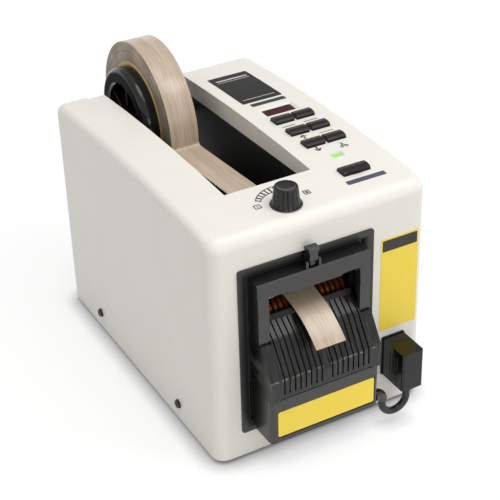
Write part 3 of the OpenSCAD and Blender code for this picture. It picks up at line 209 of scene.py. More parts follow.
def vary_rough(tree, shader, source, low, high):
    """Roughness from low to high along a source."""
    tree.links.new(remap(tree, source, (0.0, 1.0), (low, high)), shader.inputs["Roughness"])


def bump(tree, shader, source, strength, depth):
    """Relief with its depth in millimetres."""
    node = add(tree, "ShaderNodeBump", Strength=strength, Distance=depth * MM)
    tree.links.new(source, node.inputs["Height"])
    tree.links.new(node.outputs["Normal"], shader.inputs["Normal"])


# Kinds of surface

def moulded(name, colour, rough, spread=0.05, grain=1500.0, depth=0.04, strength=0.25, **sockets):
    """Moulded or ground surface: cloudy colour, uneven gloss and a fine grain."""
    material, tree, shader = surface(name, **sockets)
    cloud = noise(tree, scale=28.0, detail=3.0)
    tint(tree, shader, cloud, [(0.3, scaled(colour, 1 - spread)), (0.7, scaled(colour, 1 + spread))])
    vary_rough(tree, shader, cloud, rough * 0.88, rough * 1.12)
    bump(tree, shader, noise(tree, scale=grain, detail=2.0), strength, depth)
    return material


def printed(name, colour, rough, spread, grain=1500.0, **sockets):
    """Ink or a thin plate, nearly smooth."""
    return moulded(name, colour, rough, spread, grain, depth=0.01, strength=0.15, **sockets)


def brushed(name, colour, rough, stretch, **sockets):
    """Sheet or turned metal with fine drawn lines."""
    material, tree, shader = surface(name, Metallic=1.0, **sockets)
    drawn = noise(tree, scale=900.0, detail=3.0, stretch=stretch)
    tint(tree, shader, drawn, [(0.3, scaled(colour, 0.86)), (0.7, scaled(colour, 1.08))])
    vary_rough(tree, shader, drawn, rough * 0.8, rough * 1.2)
    bump(tree, shader, drawn, strength=0.2, depth=0.02)
    return material


def rimmed(name, colour, **sockets):
    """Moulded hub with dull grained sides across X and glossy rims."""
    # Share of the normal along X at which the gloss of the rims starts to fade, and where it is gone
    fade_start, fade_end = 0.85, 0.97
    material, tree, shader = surface(name, **sockets)
    grain = noise(tree, scale=300.0, detail=5.0, roughness=0.7)
    tint(tree, shader, grain, [(0.35, scaled(colour, 0.5)), (0.7, scaled(colour, 1.6))])
    geometry = add(tree, "ShaderNodeNewGeometry")
    parts = add(tree, "ShaderNodeSeparateXYZ")
    tree.links.new(geometry.outputs["Normal"], parts.inputs["Vector"])
    sideways = number(tree, "ABSOLUTE", parts.outputs["X"])
    tree.links.new(remap(tree, sideways, (fade_start, fade_end), (1.0, 0.0)), shader.inputs["Coat Weight"])
    bump(tree, shader, grain, strength=0.12, depth=0.1)
    return material


def worn_and_glinting(name, colour, rubbed_and_glint, chipped_and_highlit, crest, **sockets):
    """Ramp worn by the tape; pale streaks down its slope and dashes on its crest are partly wear, partly
    painted glints.
    """
    crest_marks_end, crest_marks_full = 0.75 * MM, 0.4 * MM
    # Places of a colour Mix node's sockets
    factor, first, second, result = 0, 6, 7, 2
    material, tree, shader = surface(name, **sockets)
    # Pale streaks down the slope: partly wear, partly painted glints on the ribs
    streaks = noise(tree, scale=1500.0, stretch=(1, 0.05, 0.05), roughness=0.7)
    slope = ramp(tree, streaks, [(0.36, scaled(colour, 0.5)), (0.54, colour), (0.7, rubbed_and_glint)])
    # Pale dashes along the crest: partly chips, partly a painted highlight on the rib edges
    near = remap(tree, off_axis(tree, crest), (crest_marks_end, crest_marks_full), (0.0, 1.0))
    spots = noise(tree, scale=620.0, detail=3.0)
    chips_and_highlights = ramp(tree, spots, [(0.45, rgb(0, 0, 0)), (0.62, rgb(255, 255, 255))])
    mix = add(tree, "ShaderNodeMix", data_type="RGBA")
    mix.inputs[second].default_value = chipped_and_highlit
    tree.links.new(number(tree, "MULTIPLY", near, chips_and_highlights), mix.inputs[factor])
    tree.links.new(slope, mix.inputs[first])
    tree.links.new(mix.outputs[result], shader.inputs["Base Color"])
    vary_rough(tree, shader, streaks, 0.1, 0.5)
    bump(tree, shader, streaks, strength=0.25, depth=0.06)
    return material


def paper(name, colour):
    """Pressed paper with fibres across the roll."""
    material, tree, shader = surface(name, Roughness=0.75)
    fibre = noise(tree, scale=420.0, detail=5.0, stretch=(0.3, 1, 1), roughness=0.7)
    tint(tree, shader, fibre, [(0.3, scaled(colour, 0.72)), (0.75, scaled(colour, 1.15))])
    bump(tree, shader, fibre, strength=0.4, depth=0.1)
    return material


def film(name, light, mid, dark, rough):
    """Tape film with streaks along its length; the mesh's UV holds millimetres across and along."""
    material, tree, shader = surface(name, Specular_IOR_Level=0.55)
    uv = add(tree, "ShaderNodeUVMap", uv_map="tape")

    def streak(across, along, detail):
        mapping = add(tree, "ShaderNodeMapping", Scale=(across, along, 1))
        tree.links.new(uv.outputs["UV"], mapping.inputs["Vector"])
        node = add(tree, "ShaderNodeTexNoise", Scale=1.0, Detail=detail, Roughness=0.6)
        tree.links.new(mapping.outputs["Vector"], node.inputs["Vector"])
        return node.outputs["Fac"]

    broad = streak(across=0.22, along=0.012, detail=3.0)
    fine = streak(across=1.7, along=0.05, detail=5.0)
    tint(tree, shader, blend(tree, fine, broad, share=0.55), [(0.36, dark), (0.5, mid), (0.62, light)])
    vary_rough(tree, shader, fine, rough * 0.85, rough * 1.15)
    bump(tree, shader, fine, strength=0.2, depth=0.04)
    return material


def layered(name, light, mid, dark, centre):
    """Side of the wound tape: fine rings round the reel's axis."""
    material, tree, shader = surface(name, Roughness=0.6)
    rings = add(tree, "ShaderNodeTexNoise", noise_dimensions="1D", Scale=1300.0, Detail=4.0, Roughness=0.75)
    tree.links.new(off_axis(tree, centre), rings.inputs["W"])
    turns = rings.outputs["Fac"]
    cloud = noise(tree, scale=60.0)
    tint(tree, shader, blend(tree, turns, cloud, share=0.65), [(0.36, dark), (0.5, mid), (0.64, light)])
    bump(tree, shader, turns, strength=0.35, depth=0.08)
    return material


# Plastics and rubber
COVER = moulded("cover_white", rgb(240, 238, 230), rough=0.26, spread=0.012, grain=2600.0,
                depth=0.02, strength=0.12, Specular_IOR_Level=0.3)
BLACK = moulded("black_plastic", rgb(28, 28, 27), rough=0.27, spread=0.12, grain=2200.0,
                depth=0.03, Specular_IOR_Level=0.78)
PAN = moulded("pan_black", rgb(36, 36, 35), rough=0.45, spread=0.12, grain=2200.0,
              depth=0.03, strength=0.3, Specular_IOR_Level=0.6)
LINER = moulded("liner_black", rgb(20, 20, 20), rough=0.55, spread=0.1, grain=1600.0, Specular_IOR_Level=0.35)
GLOSS = moulded("gloss_black", rgb(20, 20, 19), rough=0.14, spread=0.12, grain=900.0,
                depth=0.02, strength=0.1, Specular_IOR_Level=0.45)
PLUG = moulded("plug_black", rgb(14, 14, 13), rough=0.15, spread=0.12, grain=900.0,
               depth=0.02, strength=0.1, Specular_IOR_Level=0.4)
KEY = moulded("key_black", rgb(30, 29, 27), rough=0.28, spread=0.08, grain=2600.0, Specular_IOR_Level=0.2)
RUBBER = moulded("black_rubber", rgb(30, 30, 30), rough=0.75, spread=0.12, grain=1200.0)
LEAD = moulded("lead_rubber", rgb(26, 26, 26), rough=0.3, spread=0.1)
SILICONE = moulded("amber_silicone", rgb(104, 46, 8), rough=0.2, spread=0.1, grain=1400.0,
                   Specular_IOR_Level=0.9, Specular_Tint=rgb(255, 170, 70))
ACETAL = moulded("gear_plastic", rgb(222, 216, 200), rough=0.45, spread=0.04)
BOARD = moulded("board_green", rgb(34, 92, 58), rough=0.4, spread=0.12, grain=700.0)
COIL = moulded("coil_tape", rgb(222, 190, 74), rough=0.45, spread=0.08, grain=900.0)
FILTER = moulded("display_red", rgb(66, 15, 26), rough=0.3, spread=0.15, grain=600.0,
                 depth=0.01, strength=0.1, Specular_IOR_Level=0.12)
LAMP = moulded("lamp_green", rgb(158, 226, 124), rough=0.25, spread=0.08, grain=700.0,
               Emission_Color=rgb(140, 235, 105), Emission_Strength=0.16)
HUB = rimmed("hub_black", rgb(17, 17, 17), Roughness=0.6, Specular_IOR_Level=0.05, Coat_Roughness=0.12)
# Ramp black whose pale streaks and crest dashes are partly painted glints
RUBBED_AND_GLINTING = worn_and_glinting("rubbed_glinting_black", rgb(22, 22, 21), rgb(74, 73, 70), rgb(128, 127, 122),
              crest=at(0, -RAMP_REACH, RAMP_LOW), Specular_IOR_Level=0.48)

# Metals
COATED = moulded("coated_steel", rgb(26, 26, 27), rough=0.4, spread=0.12, grain=1800.0, Metallic=0.3)
SCREW = moulded("dark_screw", rgb(44, 43, 42), rough=0.35, spread=0.1, Metallic=0.6)
SHEET = brushed("sheet_steel", rgb(196, 198, 200), rough=0.42, stretch=(0.15, 1, 1))
STEEL = brushed("bright_steel", rgb(206, 206, 208), rough=0.28, stretch=(0.06, 1, 1))
BLADE = brushed("blade_steel", rgb(200, 202, 206), rough=0.22, stretch=(1, 1, 0.1))
CAN = brushed("motor_can", rgb(170, 172, 174), rough=0.38, stretch=(0.2, 1, 1))
BRASS = brushed("bush_brass", rgb(206, 170, 96), rough=0.3, stretch=(0.2, 1, 1))

# Plates and inks
YELLOW = printed("plate_yellow", rgb(253, 224, 74), rough=0.38, spread=0.03, grain=1800.0)
INK = printed("print_black", rgb(36, 36, 34), rough=0.42, spread=0.1)
PLATE = printed("console_plate", rgb(26, 26, 24), rough=0.42, spread=0.1, Specular_IOR_Level=0.2)
SLATE = printed("slate_strip", rgb(74, 78, 96), rough=0.4, spread=0.08)
PALE = printed("print_pale", rgb(214, 213, 208), rough=0.4, spread=0.04)

# Tape and its core
CORE = paper("core_paper", rgb(250, 208, 134))
FILM = film("tape_film", rgb(210, 193, 170), rgb(196, 177, 154), rgb(178, 158, 135), rough=0.24)
LAYERS = layered("tape_layers", rgb(202, 187, 170), rgb(156, 141, 127), rgb(106, 94, 83),
                 centre=at(0, REEL_Y, REEL_Z))

# Nodes of the frame that each material goes on
KEYS = ["key_1", "key_2", "key_3", "key_4", "key_5", "key_6", "auto_key"]
FINISH = {
    COVER: ["main_cover"],
    RUBBED_AND_GLINTING: ["outlet_ramp"],
    BLACK: ["cutter_hood", "front_block", "latch", "connector_socket",
            "power_inlet", "switch_frame", "fuse_cap", "display_module"],
    PAN: ["unit_bezel"],
    LINER: ["reel_chassis", "feed_shaft"],
    GLOSS: ["speed_knob", "power_rocker"],
    HUB: ["reel_hub"],
    PLUG: ["connector_plug"],
    COATED: ["fixed_blade", "blade_carrier"],
    KEY: KEYS,
    RUBBER: ["rubber_feet", "pressure_sleeve"],
    LEAD: ["cutter_lead"],
    SILICONE: ["feed_rings"],
    SHEET: ["base_plate", "feed_frame", "cutter_frame", "transformer_core"],
    STEEL: ["reel_axle", "reel_spacers", "guide_roller", "pressure_shaft", "latch_pin", "knob_shaft"],
    BLADE: ["moving_blade"],
    CAN: ["feed_motor", "cutter_motor", "speed_pot"],
    BRASS: ["roller_bushes", "cutter_crank"],
    SCREW: ["cover_screws"],
    ACETAL: ["feed_gear", "drive_gear"],
    BOARD: ["keypad_board", "main_board"],
    COIL: ["transformer_coil"],
    FILTER: ["display_window"],
    LAMP: ["power_lamp"],
    CORE: ["tape_core"],
    FILM: ["tape_roll", "tape_web", "tape_tongue"],
}
for material, names in FINISH.items():
    for name in names:
        nodes[name].data.materials.clear()
        nodes[name].data.materials.append(material)

# Edges of moulded pieces are broken by a small round, listed by its width in millimetres
EDGES = {
    0.45: ["connector_plug"],
    0.25: ["cutter_hood", "outlet_ramp", "front_block", "latch", "unit_bezel", "connector_socket"],
    0.2: KEYS,
}
EDGE_ANGLE = math.radians(35)
for width, names in EDGES.items():
    for name in names:
        soft_edge = nodes[name].modifiers.new("edge_round", "BEVEL")
        soft_edge.width = width * MM
        soft_edge.segments = 2
        soft_edge.limit_method = "ANGLE"
        soft_edge.angle_limit = EDGE_ANGLE
        soft_edge.harden_normals = True


# Pieces made here

def piece(name, mesh, materials, body=HOME):
    """Object of a mesh that rides on a body, with the slot of its finish."""
    thing = bpy.data.objects.new(name, mesh)
    scene.collection.objects.link(thing)
    for material in materials:
        mesh.materials.append(material)
    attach(thing, body)
    return thing


def loft(bm, rows, around=True, along=False):
    """Smooth quads between rows of vertices, closed around each row or along all rows where asked."""
    faces = []
    for row, following in zip(rows, rows[1:] + (rows[:1] if along else [])):
        for j in range(len(row) if around else len(row) - 1):
            k = (j + 1) % len(row)
            faces.append(bm.faces.new([row[j], row[k], following[k], following[j]]))
            faces[-1].smooth = True
    return faces


def to_mesh(bm, name, crease=None):
    """Mesh with its faces turned outward; edges bent by more than crease degrees stay sharp."""
    bmesh.ops.recalc_face_normals(bm, faces=bm.faces[:])
    if crease:
        for edge in bm.edges:
            edge.smooth = edge.calc_face_angle() <= math.radians(crease)
    mesh = bpy.data.meshes.new(name)
    bm.to_mesh(mesh)
    bm.free()
    return mesh


def along_path(path, i):
    """Unit tangent of a line of points at one of them."""
    before, after = path[max(0, i - 1)], path[min(len(path) - 1, i + 1)]
    return (Vector(after) - Vector(before)).normalized()


def arc(cx, cy, r, start, end, steps):
    """Points round a centre from one angle to another, both included."""
    return [(cx + r * math.cos(a), cy + r * math.sin(a)) for a in evenly(start, end, steps)]


# Tape: one strip from the roll over the guide, through the rollers and out over the ramp

def tape_path():
    """Centre line of the strip as points of Y and Z, from the roll to its free end."""
    guide_z = WEB_Z - TAPE_T / 2 - ROLLER_GAP - GUIDE_R
    guide_r = GUIDE_R + ROLLER_GAP + TAPE_T / 2
    press_r = PRESS_R + ROLLER_GAP + TAPE_T / 2
    dy, dz = NIP_Y - GUIDE_Y, PRESS_Z - guide_z
    heading = math.atan2(dz, dy) + math.asin((guide_r + press_r) / math.hypot(dy, dz))
    guide_end = math.atan2(-math.cos(heading), math.sin(heading))
    press_start = math.atan2(math.cos(heading), -math.sin(heading))
    press_end = math.atan2(math.cos(math.pi + FEED_TILT), -math.sin(math.pi + FEED_TILT))

    # The strip leaves the roll's outermost turn in a short bend, and runs straight to the guide
    bend, sink = 2.2, 0.25
    leave = REEL_Y - math.sqrt(ROLL_R ** 2 - (REEL_Z - PEEL_Z - bend) ** 2) - sink
    path = arc(leave - bend, PEEL_Z + bend, bend, 0, -math.pi / 2, steps=6)
    peel_y, peel_z = path[-1]
    dy, dz = peel_y - GUIDE_Y, peel_z - guide_z
    guide_start = math.atan2(dz, dy) + math.acos(guide_r / math.hypot(dy, dz))
    over_guide = arc(GUIDE_Y, guide_z, guide_r, guide_start, guide_end, steps=10)
    meet_y, meet_z = over_guide[0]
    path += list(zip(evenly(peel_y, meet_y, steps=24), evenly(peel_z, meet_z, steps=24)))[1:-1]
    path += over_guide
    path += arc(NIP_Y, PRESS_Z, press_r, press_start, press_end, steps=8)
    nip_out_y, nip_out_z = path[-1]

    def straight_on(y):
        return nip_out_z - (nip_out_y - y) * math.tan(FEED_TILT)

    # From the nip it runs straight through the cutter, and past that the free end droops
    in_cutter = (8.0, 4.0)
    path += [(y, straight_on(y)) for y in in_cutter]
    for reach in evenly(0.0, TONGUE_REACH, steps=24):
        y = TONGUE_Y - reach
        path.append((y, straight_on(y) - TONGUE_DROOP * reach ** 2))
    return path


def make_tape():
    """Strip with its thickness, which cups across its width towards the free end."""
    columns, cup, cup_run = 8, 0.35, 20.0
    path = tape_path()
    bm = bmesh.new()
    uv = bm.loops.layers.uv.new("tape")
    sections, place, run = [], {}, 0.0
    for i, (y, z) in enumerate(path):
        forward_y, forward_z = along_path(path, i)
        if i:
            run += math.dist(path[i - 1], path[i])
        free = max(0.0, min(1.0, (TONGUE_Y - y) / cup_run))
        section = []
        for side in (1, -1):
            for u in evenly(-side, side, columns):
                lift = cup * free * u * u + side * TAPE_T / 2
                across = u * TAPE_W / 2
                vertex = bm.verts.new(at(TAPE_X + across, y + forward_z * lift, z - forward_y * lift))
                place[vertex] = (across, run)
                section.append(vertex)
        sections.append(section)
    loft(bm, sections)
    for section in (sections[0], sections[-1]):
        for j in range(columns):
            bm.faces.new([section[j], section[-1 - j], section[-2 - j], section[j + 1]]).smooth = True
    for face in bm.faces:
        for loop in face.loops:
            loop[uv].uv = place[loop.vert]
    strip_piece = piece("tape_strip", to_mesh(bm, "tape_strip", crease=40), [FILM])
    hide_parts("tape_web", "tape_tongue")


def make_roll():
    """Wound tape whose turns stand a little proud of each other at the sides."""
    rng = random.Random(5)
    turns, steps = 26, 160
    core_gap, groove, rim, inward, outward = 0.02, 0.02, 0.12, -0.09, 0.03
    uv_start = 400.0
    half = TAPE_W / 2
    radii = evenly(CORE_OUT + core_gap, ROLL_R, turns)
    left, right = [], []
    for low, high in zip(radii, radii[1:]):
        for side, wall in ((-1, left), (1, right)):
            x = side * (half + rng.uniform(inward, outward))
            wall += [(low + groove, x), (high - groove, x)]
    profile = left + [(ROLL_R, rim - half), (ROLL_R, half - rim)] + right[::-1]
    rim_face = len(left)

    bm = bmesh.new()
    uv = bm.loops.layers.uv.new("tape")
    rows = []
    for k in range(steps):
        t = 2 * math.pi * k / steps
        rows.append([bm.verts.new(at(TAPE_X + x, REEL_Y + r * math.cos(t), REEL_Z + r * math.sin(t)))
                     for r, x in profile])
    for count, face in enumerate(loft(bm, rows, along=True)):
        k, j = divmod(count, len(profile))
        face.material_index = 0 if abs(j - rim_face) <= 1 else 1
        face.smooth = j == rim_face
        following = (j + 1) % len(profile)
        for loop, (p, turn) in zip(face.loops, ((j, k), (following, k), (following, k + 1), (j, k + 1))):
            loop[uv].uv = (profile[p][1], 2 * math.pi * ROLL_R * turn / steps + uv_start)
    roll = piece("wound_tape", to_mesh(bm, "wound_tape"), [FILM, LAYERS], "reel")
    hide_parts("tape_roll")


make_tape()
make_roll()


# Lead of the cutter: a moulded elbow at the block, then a free loop up into the plug

def tube(name, path, radii, material, sides=20):
    """Closed tube along points of X and Z in millimetres, at the lead's own Y."""
    bm = bmesh.new()
    rings = []
    for i, (x, z) in enumerate(path):
        tx, tz = along_path(path, i)
        circle = []
        for k in range(sides):
            t = 2 * math.pi * k / sides
            across = radii[i] * math.cos(t)
            circle.append(bm.verts.new(at(x - tz * across, LEAD_Y + radii[i] * math.sin(t), z + tx * across)))
        rings.append(circle)
    loft(bm, rings)
    for circle in (rings[0], rings[-1]):
        bm.faces.new(circle)
    return piece(name, to_mesh(bm, name, crease=50), [material])


def make_lead():
    """Elbow at the block and cord up to the plug, in one upright plane."""
    # The elbow tapers from the block to its foot, with a groove at every fourth ring
    root, collar, turn, foot_l = 0.05, 0.8, 1.5, 0.9
    thick, taper, groove, groove_every = 1.3, 0.75, 0.3, 4
    drop_x = BLOCK_X + turn + ELBOW_R
    foot = LEAD_Z - ELBOW_R - foot_l
    elbow = [(BLOCK_X + root, LEAD_Z), (BLOCK_X + collar, LEAD_Z)]
    elbow += arc(BLOCK_X + turn, LEAD_Z - ELBOW_R, ELBOW_R, math.pi / 2, 0, steps=12)
    elbow.append((drop_x, foot))
    radii = []
    for i, r in enumerate(evenly(LEAD_R + thick, LEAD_R + thick - taper, len(elbow) - 1)):
        radii.append(r - groove if i % groove_every == groove_every - 1 else r)
    tube("lead_elbow", elbow, radii, BLACK)

    # The cord starts inside the elbow and ends inside the plug
    tuck, rise, plug_near, plug_in = 0.6, 2.5, 2.6, 2.0
    line = [(drop_x, foot + tuck), (drop_x, foot), (drop_x, (foot + LOOP_Z) / 2)]
    line += arc((drop_x + PLUG_X) / 2, LOOP_Z, (PLUG_X - drop_x) / 2, math.pi, 2 * math.pi, steps=24)
    line += [(PLUG_X, z) for z in (LOOP_Z + rise, PLUG_LOW - plug_near, PLUG_LOW + plug_in)]
    cord = tube("cutter_cord", line, [LEAD_R] * len(line), LEAD)
    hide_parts("cutter_lead")


make_lead()


# Speed knob: a fluted body down to the deck on a thin flange, with a dished top

def knob_profile(bore_r, bore_top):
    """Points of radius, height and share of the flutes' depth, from the bore round to the dish."""
    flange_r, flange_z, flange_edge = 9.2, 0.32, 0.1
    heel, heel_z, foot_r, foot_z = 0.25, 0.36, 7.9, 0.6
    top_r, rim = 6.75, 0.9
    dish = ((5.3, 0.06), (4.9, 0.28), (4.4, 0.45), (3.0, 0.58), (1.5, 0.64))
    profile = [(bore_r, bore_top, 0), (bore_r, 0.0, 0), (flange_r, 0.0, 0),
               (flange_r, flange_z - flange_edge, 0), (flange_r - flange_edge, flange_z, 0),
               (foot_r + heel, heel_z, 0)]
    wall = zip(evenly(foot_r, top_r, steps=6), evenly(foot_z, KNOB_H - rim, steps=6))
    profile += [(r, z, 1) for r, z in wall]
    shoulder = arc(top_r - rim, KNOB_H - rim, rim, 0, math.pi / 2, steps=5)
    profile += [(r, z, share) for (r, z), share in zip(shoulder, evenly(1, 0, steps=5))][1:]
    return profile + [(r, KNOB_H - drop, 0) for r, drop in dish]


def make_knob():
    """Cap turned from its profile, with narrow valleys for flutes and a blind bore for the shaft."""
    flutes, flute_depth, flute_power, steps = 16, 0.55, 5, 192
    bore_r, bore_top, dish_depth = 3.2, 9.3, 0.65
    profile = knob_profile(bore_r, bore_top)
    base = top_z(KNOB_Y) + KNOB_SEAT
    bm = bmesh.new()
    rows = []
    for k in range(steps):
        t = 2 * math.pi * k / steps
        valley = (0.5 + 0.5 * math.cos(flutes * t)) ** flute_power
        row = []
        for r, z, share in profile:
            r -= flute_depth * share * valley
            row.append(bm.verts.new(at(KNOB_X + r * math.cos(t), KNOB_Y + r * math.sin(t), base + z)))
        rows.append(row)
    loft(bm, rows, around=False, along=True)
    for j, z in ((0, bore_top), (-1, KNOB_H - dish_depth)):
        centre = bm.verts.new(at(KNOB_X, KNOB_Y, base + z))
        for row, following in zip(rows, rows[1:] + rows[:1]):
            bm.faces.new([row[j], following[j], centre]).smooth = True
    cap = piece("knob_cap", to_mesh(bm, "knob_cap", crease=50), [GLOSS], "knob")
    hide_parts("speed_knob")


make_knob()


# Flat shapes: each is a list of points and a list of faces

def poly(points):
    """One face within the points."""
    return points, [list(range(len(points)))]


def strip(outer, inner, closed=True):
    """Band between two lines of as many points."""
    n = len(outer)
    faces = [[i, (i + 1) % n, n + (i + 1) % n, n + i] for i in range(n if closed else n - 1)]
    return outer + inner, faces


def round_rect(x0, y0, x1, y1, r, steps=6):
    """Points of a rectangle with round corners."""
    points = []
    corners = ((x1 - r, y1 - r), (x0 + r, y1 - r), (x0 + r, y0 + r), (x1 - r, y0 + r))
    for i, (cx, cy) in enumerate(corners):
        points += arc(cx, cy, r, math.pi / 2 * i, math.pi / 2 * (i + 1), steps)
    return points


def border(x0, y0, x1, y1, r, width):
    """Open frame with round corners."""
    least_r = 0.05
    return strip(round_rect(x0, y0, x1, y1, r),
                 round_rect(x0 + width, y0 + width, x1 - width, y1 - width, max(least_r, r - width)))


def ring(cx, cy, r0, r1, steps):
    """Band between two circles."""
    outer, inner = [arc(cx, cy, r, 0, 2 * math.pi, steps)[:-1] for r in (r1, r0)]
    return strip(outer, inner)


def stroke(path, width):
    """Band of one width along a bent line, with square corners."""
    left, right = [], []
    for i, (x, y) in enumerate(path):
        sides = []
        for a, b in ((i - 1, i), (i, i + 1)):
            if a >= 0 and b < len(path):
                sides.append(Vector((path[a][1] - path[b][1], path[b][0] - path[a][0])).normalized())
        offset = (sides[0] + sides[-1]) * (width / (1 + sides[0].dot(sides[-1])) / 2)
        left.append((x + offset.x, y + offset.y))
        right.append((x - offset.x, y - offset.y))
    return strip(left, right, closed=False)


def turned(shape, cx, cy, degrees):
    """Shape turned about its origin and moved to a place."""
    c, s = math.cos(math.radians(degrees)), math.sin(math.radians(degrees))
    return [(cx + x * c - y * s, cy + x * s + y * c) for x, y in shape[0]], shape[1]


# Plates and prints lie on a surface with a hair of room, and are cut across so that they follow its curve
ROOM, CUT, SNAP = 0.02, 5.0, 0.01
PLATE_T, STRIP_T, PRINT_T, FIELD_T = 0.16, 0.1, 0.06, 0.2


def slab(name, shapes, put, thick, material, low=ROOM):
    """Thin solid laid on a surface: put maps two coordinates and a height to the frame."""
    bm = bmesh.new()
    for points, faces in shapes:
        vertices = [bm.verts.new((x, y, 0)) for x, y in points]
        for face in faces:
            bm.faces.new([vertices[i] for i in face])
    ys = [v.co.y for v in bm.verts]
    y = math.floor(min(ys) / CUT) * CUT + CUT
    while y < max(ys):
        everything = bm.verts[:] + bm.edges[:] + bm.faces[:]
        bmesh.ops.bisect_plane(bm, geom=everything, plane_co=(0, y, 0), plane_no=(0, 1, 0), dist=SNAP)
        y += CUT
    bmesh.ops.recalc_face_normals(bm, faces=bm.faces[:])
    made = bmesh.ops.extrude_face_region(bm, geom=bm.faces[:])
    for item in made["geom"]:
        if isinstance(item, bmesh.types.BMVert):
            item.co.z = thick
    for v in bm.verts:
        v.co = put(v.co.x, v.co.y, low + v.co.z)
    return piece(name, to_mesh(bm, name), [material])


def plate(name, box, r, put, thick, material, low=ROOM):
    """Slab with round corners; its box is the lower and the higher corner."""
    return slab(name, [poly(round_rect(*box, r))], put, thick, material, low)


def lines(left, right, width, places, r):
    """Level bars from left to right at each place."""
    return [poly(round_rect(left, y, right, y + width, r)) for y in places]


# Console: a dark plate with plain rules, two strips, row lines, icons and the dial of the knob

def arrow(cx, cy, up):
    """Arrow with an open head and a short stem."""
    head, half, tail, width, heel, fork = 2.6, 2.5, 2.6, 0.95, 1.36, 1.805
    tip, side = cy + up * head, width / 2
    chevron = [(cx, tip), (cx + half, cy), (cx + heel, cy), (cx, tip - up * fork),
               (cx - heel, cy), (cx - half, cy)]
    stem = [(cx - side, cy - up * tail), (cx + side, cy - up * tail), (cx + side, cy), (cx - side, cy)]
    return [poly(chevron), poly(stem)]


def scissors(cx, cy):
    """Two crossed blades, each with a ring for a handle."""
    handle_x, handle_y, handle_in, handle_out = 1.5, -1.9, 0.65, 1.15
    pivot_x, pivot_y, opening = 0.25, 0.4, 28
    blade = poly([(-0.35, -1.6), (0.35, -1.6), (0.2, 2.6), (-0.1, 2.4)])
    shapes = []
    for side in (-1, 1):
        shapes.append(ring(cx + handle_x * side, cy + handle_y, handle_in, handle_out, steps=14))
        shapes.append(turned(blade, cx + pivot_x * side, cy + pivot_y, opening * side))
    return shapes


DIGIT_W, DIGIT_H, DIGIT_LINE = 1.125, 1.5, 0.4


def number_one(cx, cy):
    reach = (DIGIT_H + DIGIT_LINE) / 2
    return stroke([(cx, cy - reach), (cx, cy + reach)], DIGIT_LINE)


def number_nine(cx, cy):
    """One line from inside the loop, round it and down to the foot."""
    w, h = DIGIT_W / 2, DIGIT_H / 2
    start = cx + w - DIGIT_LINE / 2 - ROOM
    return stroke([(start, cy), (cx - w, cy), (cx - w, cy + h), (cx + w, cy + h), (cx + w, cy - h),
                   (cx - w - DIGIT_LINE / 2, cy - h)], DIGIT_LINE)


def dial_marks():
    """Ladder of bars between two arcs that widens clockwise, and a boxed number at each end of the dial."""
    # Angles in degrees round the knob
    bars, first, last, bar_half, bar_more, arc_past = 9, 139, 64, 1.3, 0.35, 2
    inner, low, high, line, bar_room = 14.2, 17.0, 20.4, 0.5, 0.1
    box_half, box_r, box_line = 2.0, 0.3, 0.5
    numbers = ((-28.2, 21.4, number_one), (2.9, 21.2, number_nine))

    def ray(t, r):
        return KNOB_X + r * math.cos(math.radians(t)), KNOB_Y + r * math.sin(math.radians(t))

    def outer(t):
        return low + (high - low) * (first - t) / (first - last)

    shapes = []
    for i, t in enumerate(evenly(first, last, bars - 1)):
        half = bar_half + bar_more * (i % 2)
        near, far = inner + bar_room, outer(t) - bar_room
        shapes.append(poly([ray(t - half, near), ray(t - half, far),
                            ray(t + half, far), ray(t + half, near)]))
    angles = evenly(first + arc_past, last - arc_past, steps=30)
    for edge in (lambda t: inner, outer):
        shapes.append(strip([ray(t, edge(t) + line / 2) for t in angles],
                            [ray(t, edge(t) - line / 2) for t in angles], closed=False))
    for x, y, digit in numbers:
        shapes.append(border(x - box_half, y - box_half, x + box_half, y + box_half, box_r, box_line))
        shapes.append(digit(x, y))
    return shapes


# Boxes on the console are left, front, right and rear
PLATE_BOX = (25.6, 134.0, 53.6, 181.5)
GREY_BOX = (29.0, 127.6, 53.0, 131.6)
SLATE_BOX = (27.0, 15.8, 52.4, 19.6)
PLATE_R, STRIP_R = 0.8, 0.4
rules = lines(left=28.4, right=50.8, width=1.4, places=[174.0], r=0.15)
rules += lines(left=28.4, right=50.8, width=0.5, places=[171.4, 138.6], r=0.15)
row_lines = lines(left=29.5, right=38.5, width=0.5, places=[92.6], r=0.2)
row_lines += lines(left=44.5, right=54.0, width=0.5, places=[92.6, 75.0], r=0.2)
icons = arrow(cx=34.2, cy=76.0, up=1) + arrow(cx=33.6, cy=59.2, up=-1) + scissors(cx=48.8, cy=56.4)
plate("console_plate", PLATE_BOX, PLATE_R, on_top, PLATE_T, PLATE)
slab("plate_rules", rules, on_top, PRINT_T, PALE, low=ROOM + PLATE_T)
plate("grey_strip", GREY_BOX, STRIP_R, on_top, STRIP_T, INK)
plate("slate_strip", SLATE_BOX, STRIP_R, on_top, STRIP_T, SLATE)
slab("console_icons", icons, on_top, PRINT_T, INK)
slab("row_lines", row_lines, on_top, PRINT_T, INK)
slab("dial_marks", dial_marks(), on_top, PRINT_T, INK)

# Plates on the front, kept bare: boxes are left, lower, right and upper
FRONT_BOX = (38.8, 53.2, 64.4, 115.8)
BAND_BOX, BAND_R = (39.8, 107.2, 63.4, 114.6), 0.6
FIELD_BOX, FIELD_R = (-41.6, 22.4, 22.2, 39.6), 1.2
plate("front_plate", FRONT_BOX, PLATE_R, on_front, PLATE_T, YELLOW)
plate("front_plate_band", BAND_BOX, BAND_R, on_front, PRINT_T, INK, low=ROOM + PLATE_T)
plate("block_plate", FIELD_BOX, FIELD_R, on_block, FIELD_T, YELLOW)


# Floor, light and camera

def background_rays(tree):
    """1 for rays that show the background: straight to the camera, mirrored or through glass."""
    path = add(tree, "ShaderNodeLightPath")
    shown = path.outputs["Is Camera Ray"]
    for name in ("Is Glossy Ray", "Is Transmission Ray"):
        shown = number(tree, "MAXIMUM", shown, path.outputs[name])
    return shown


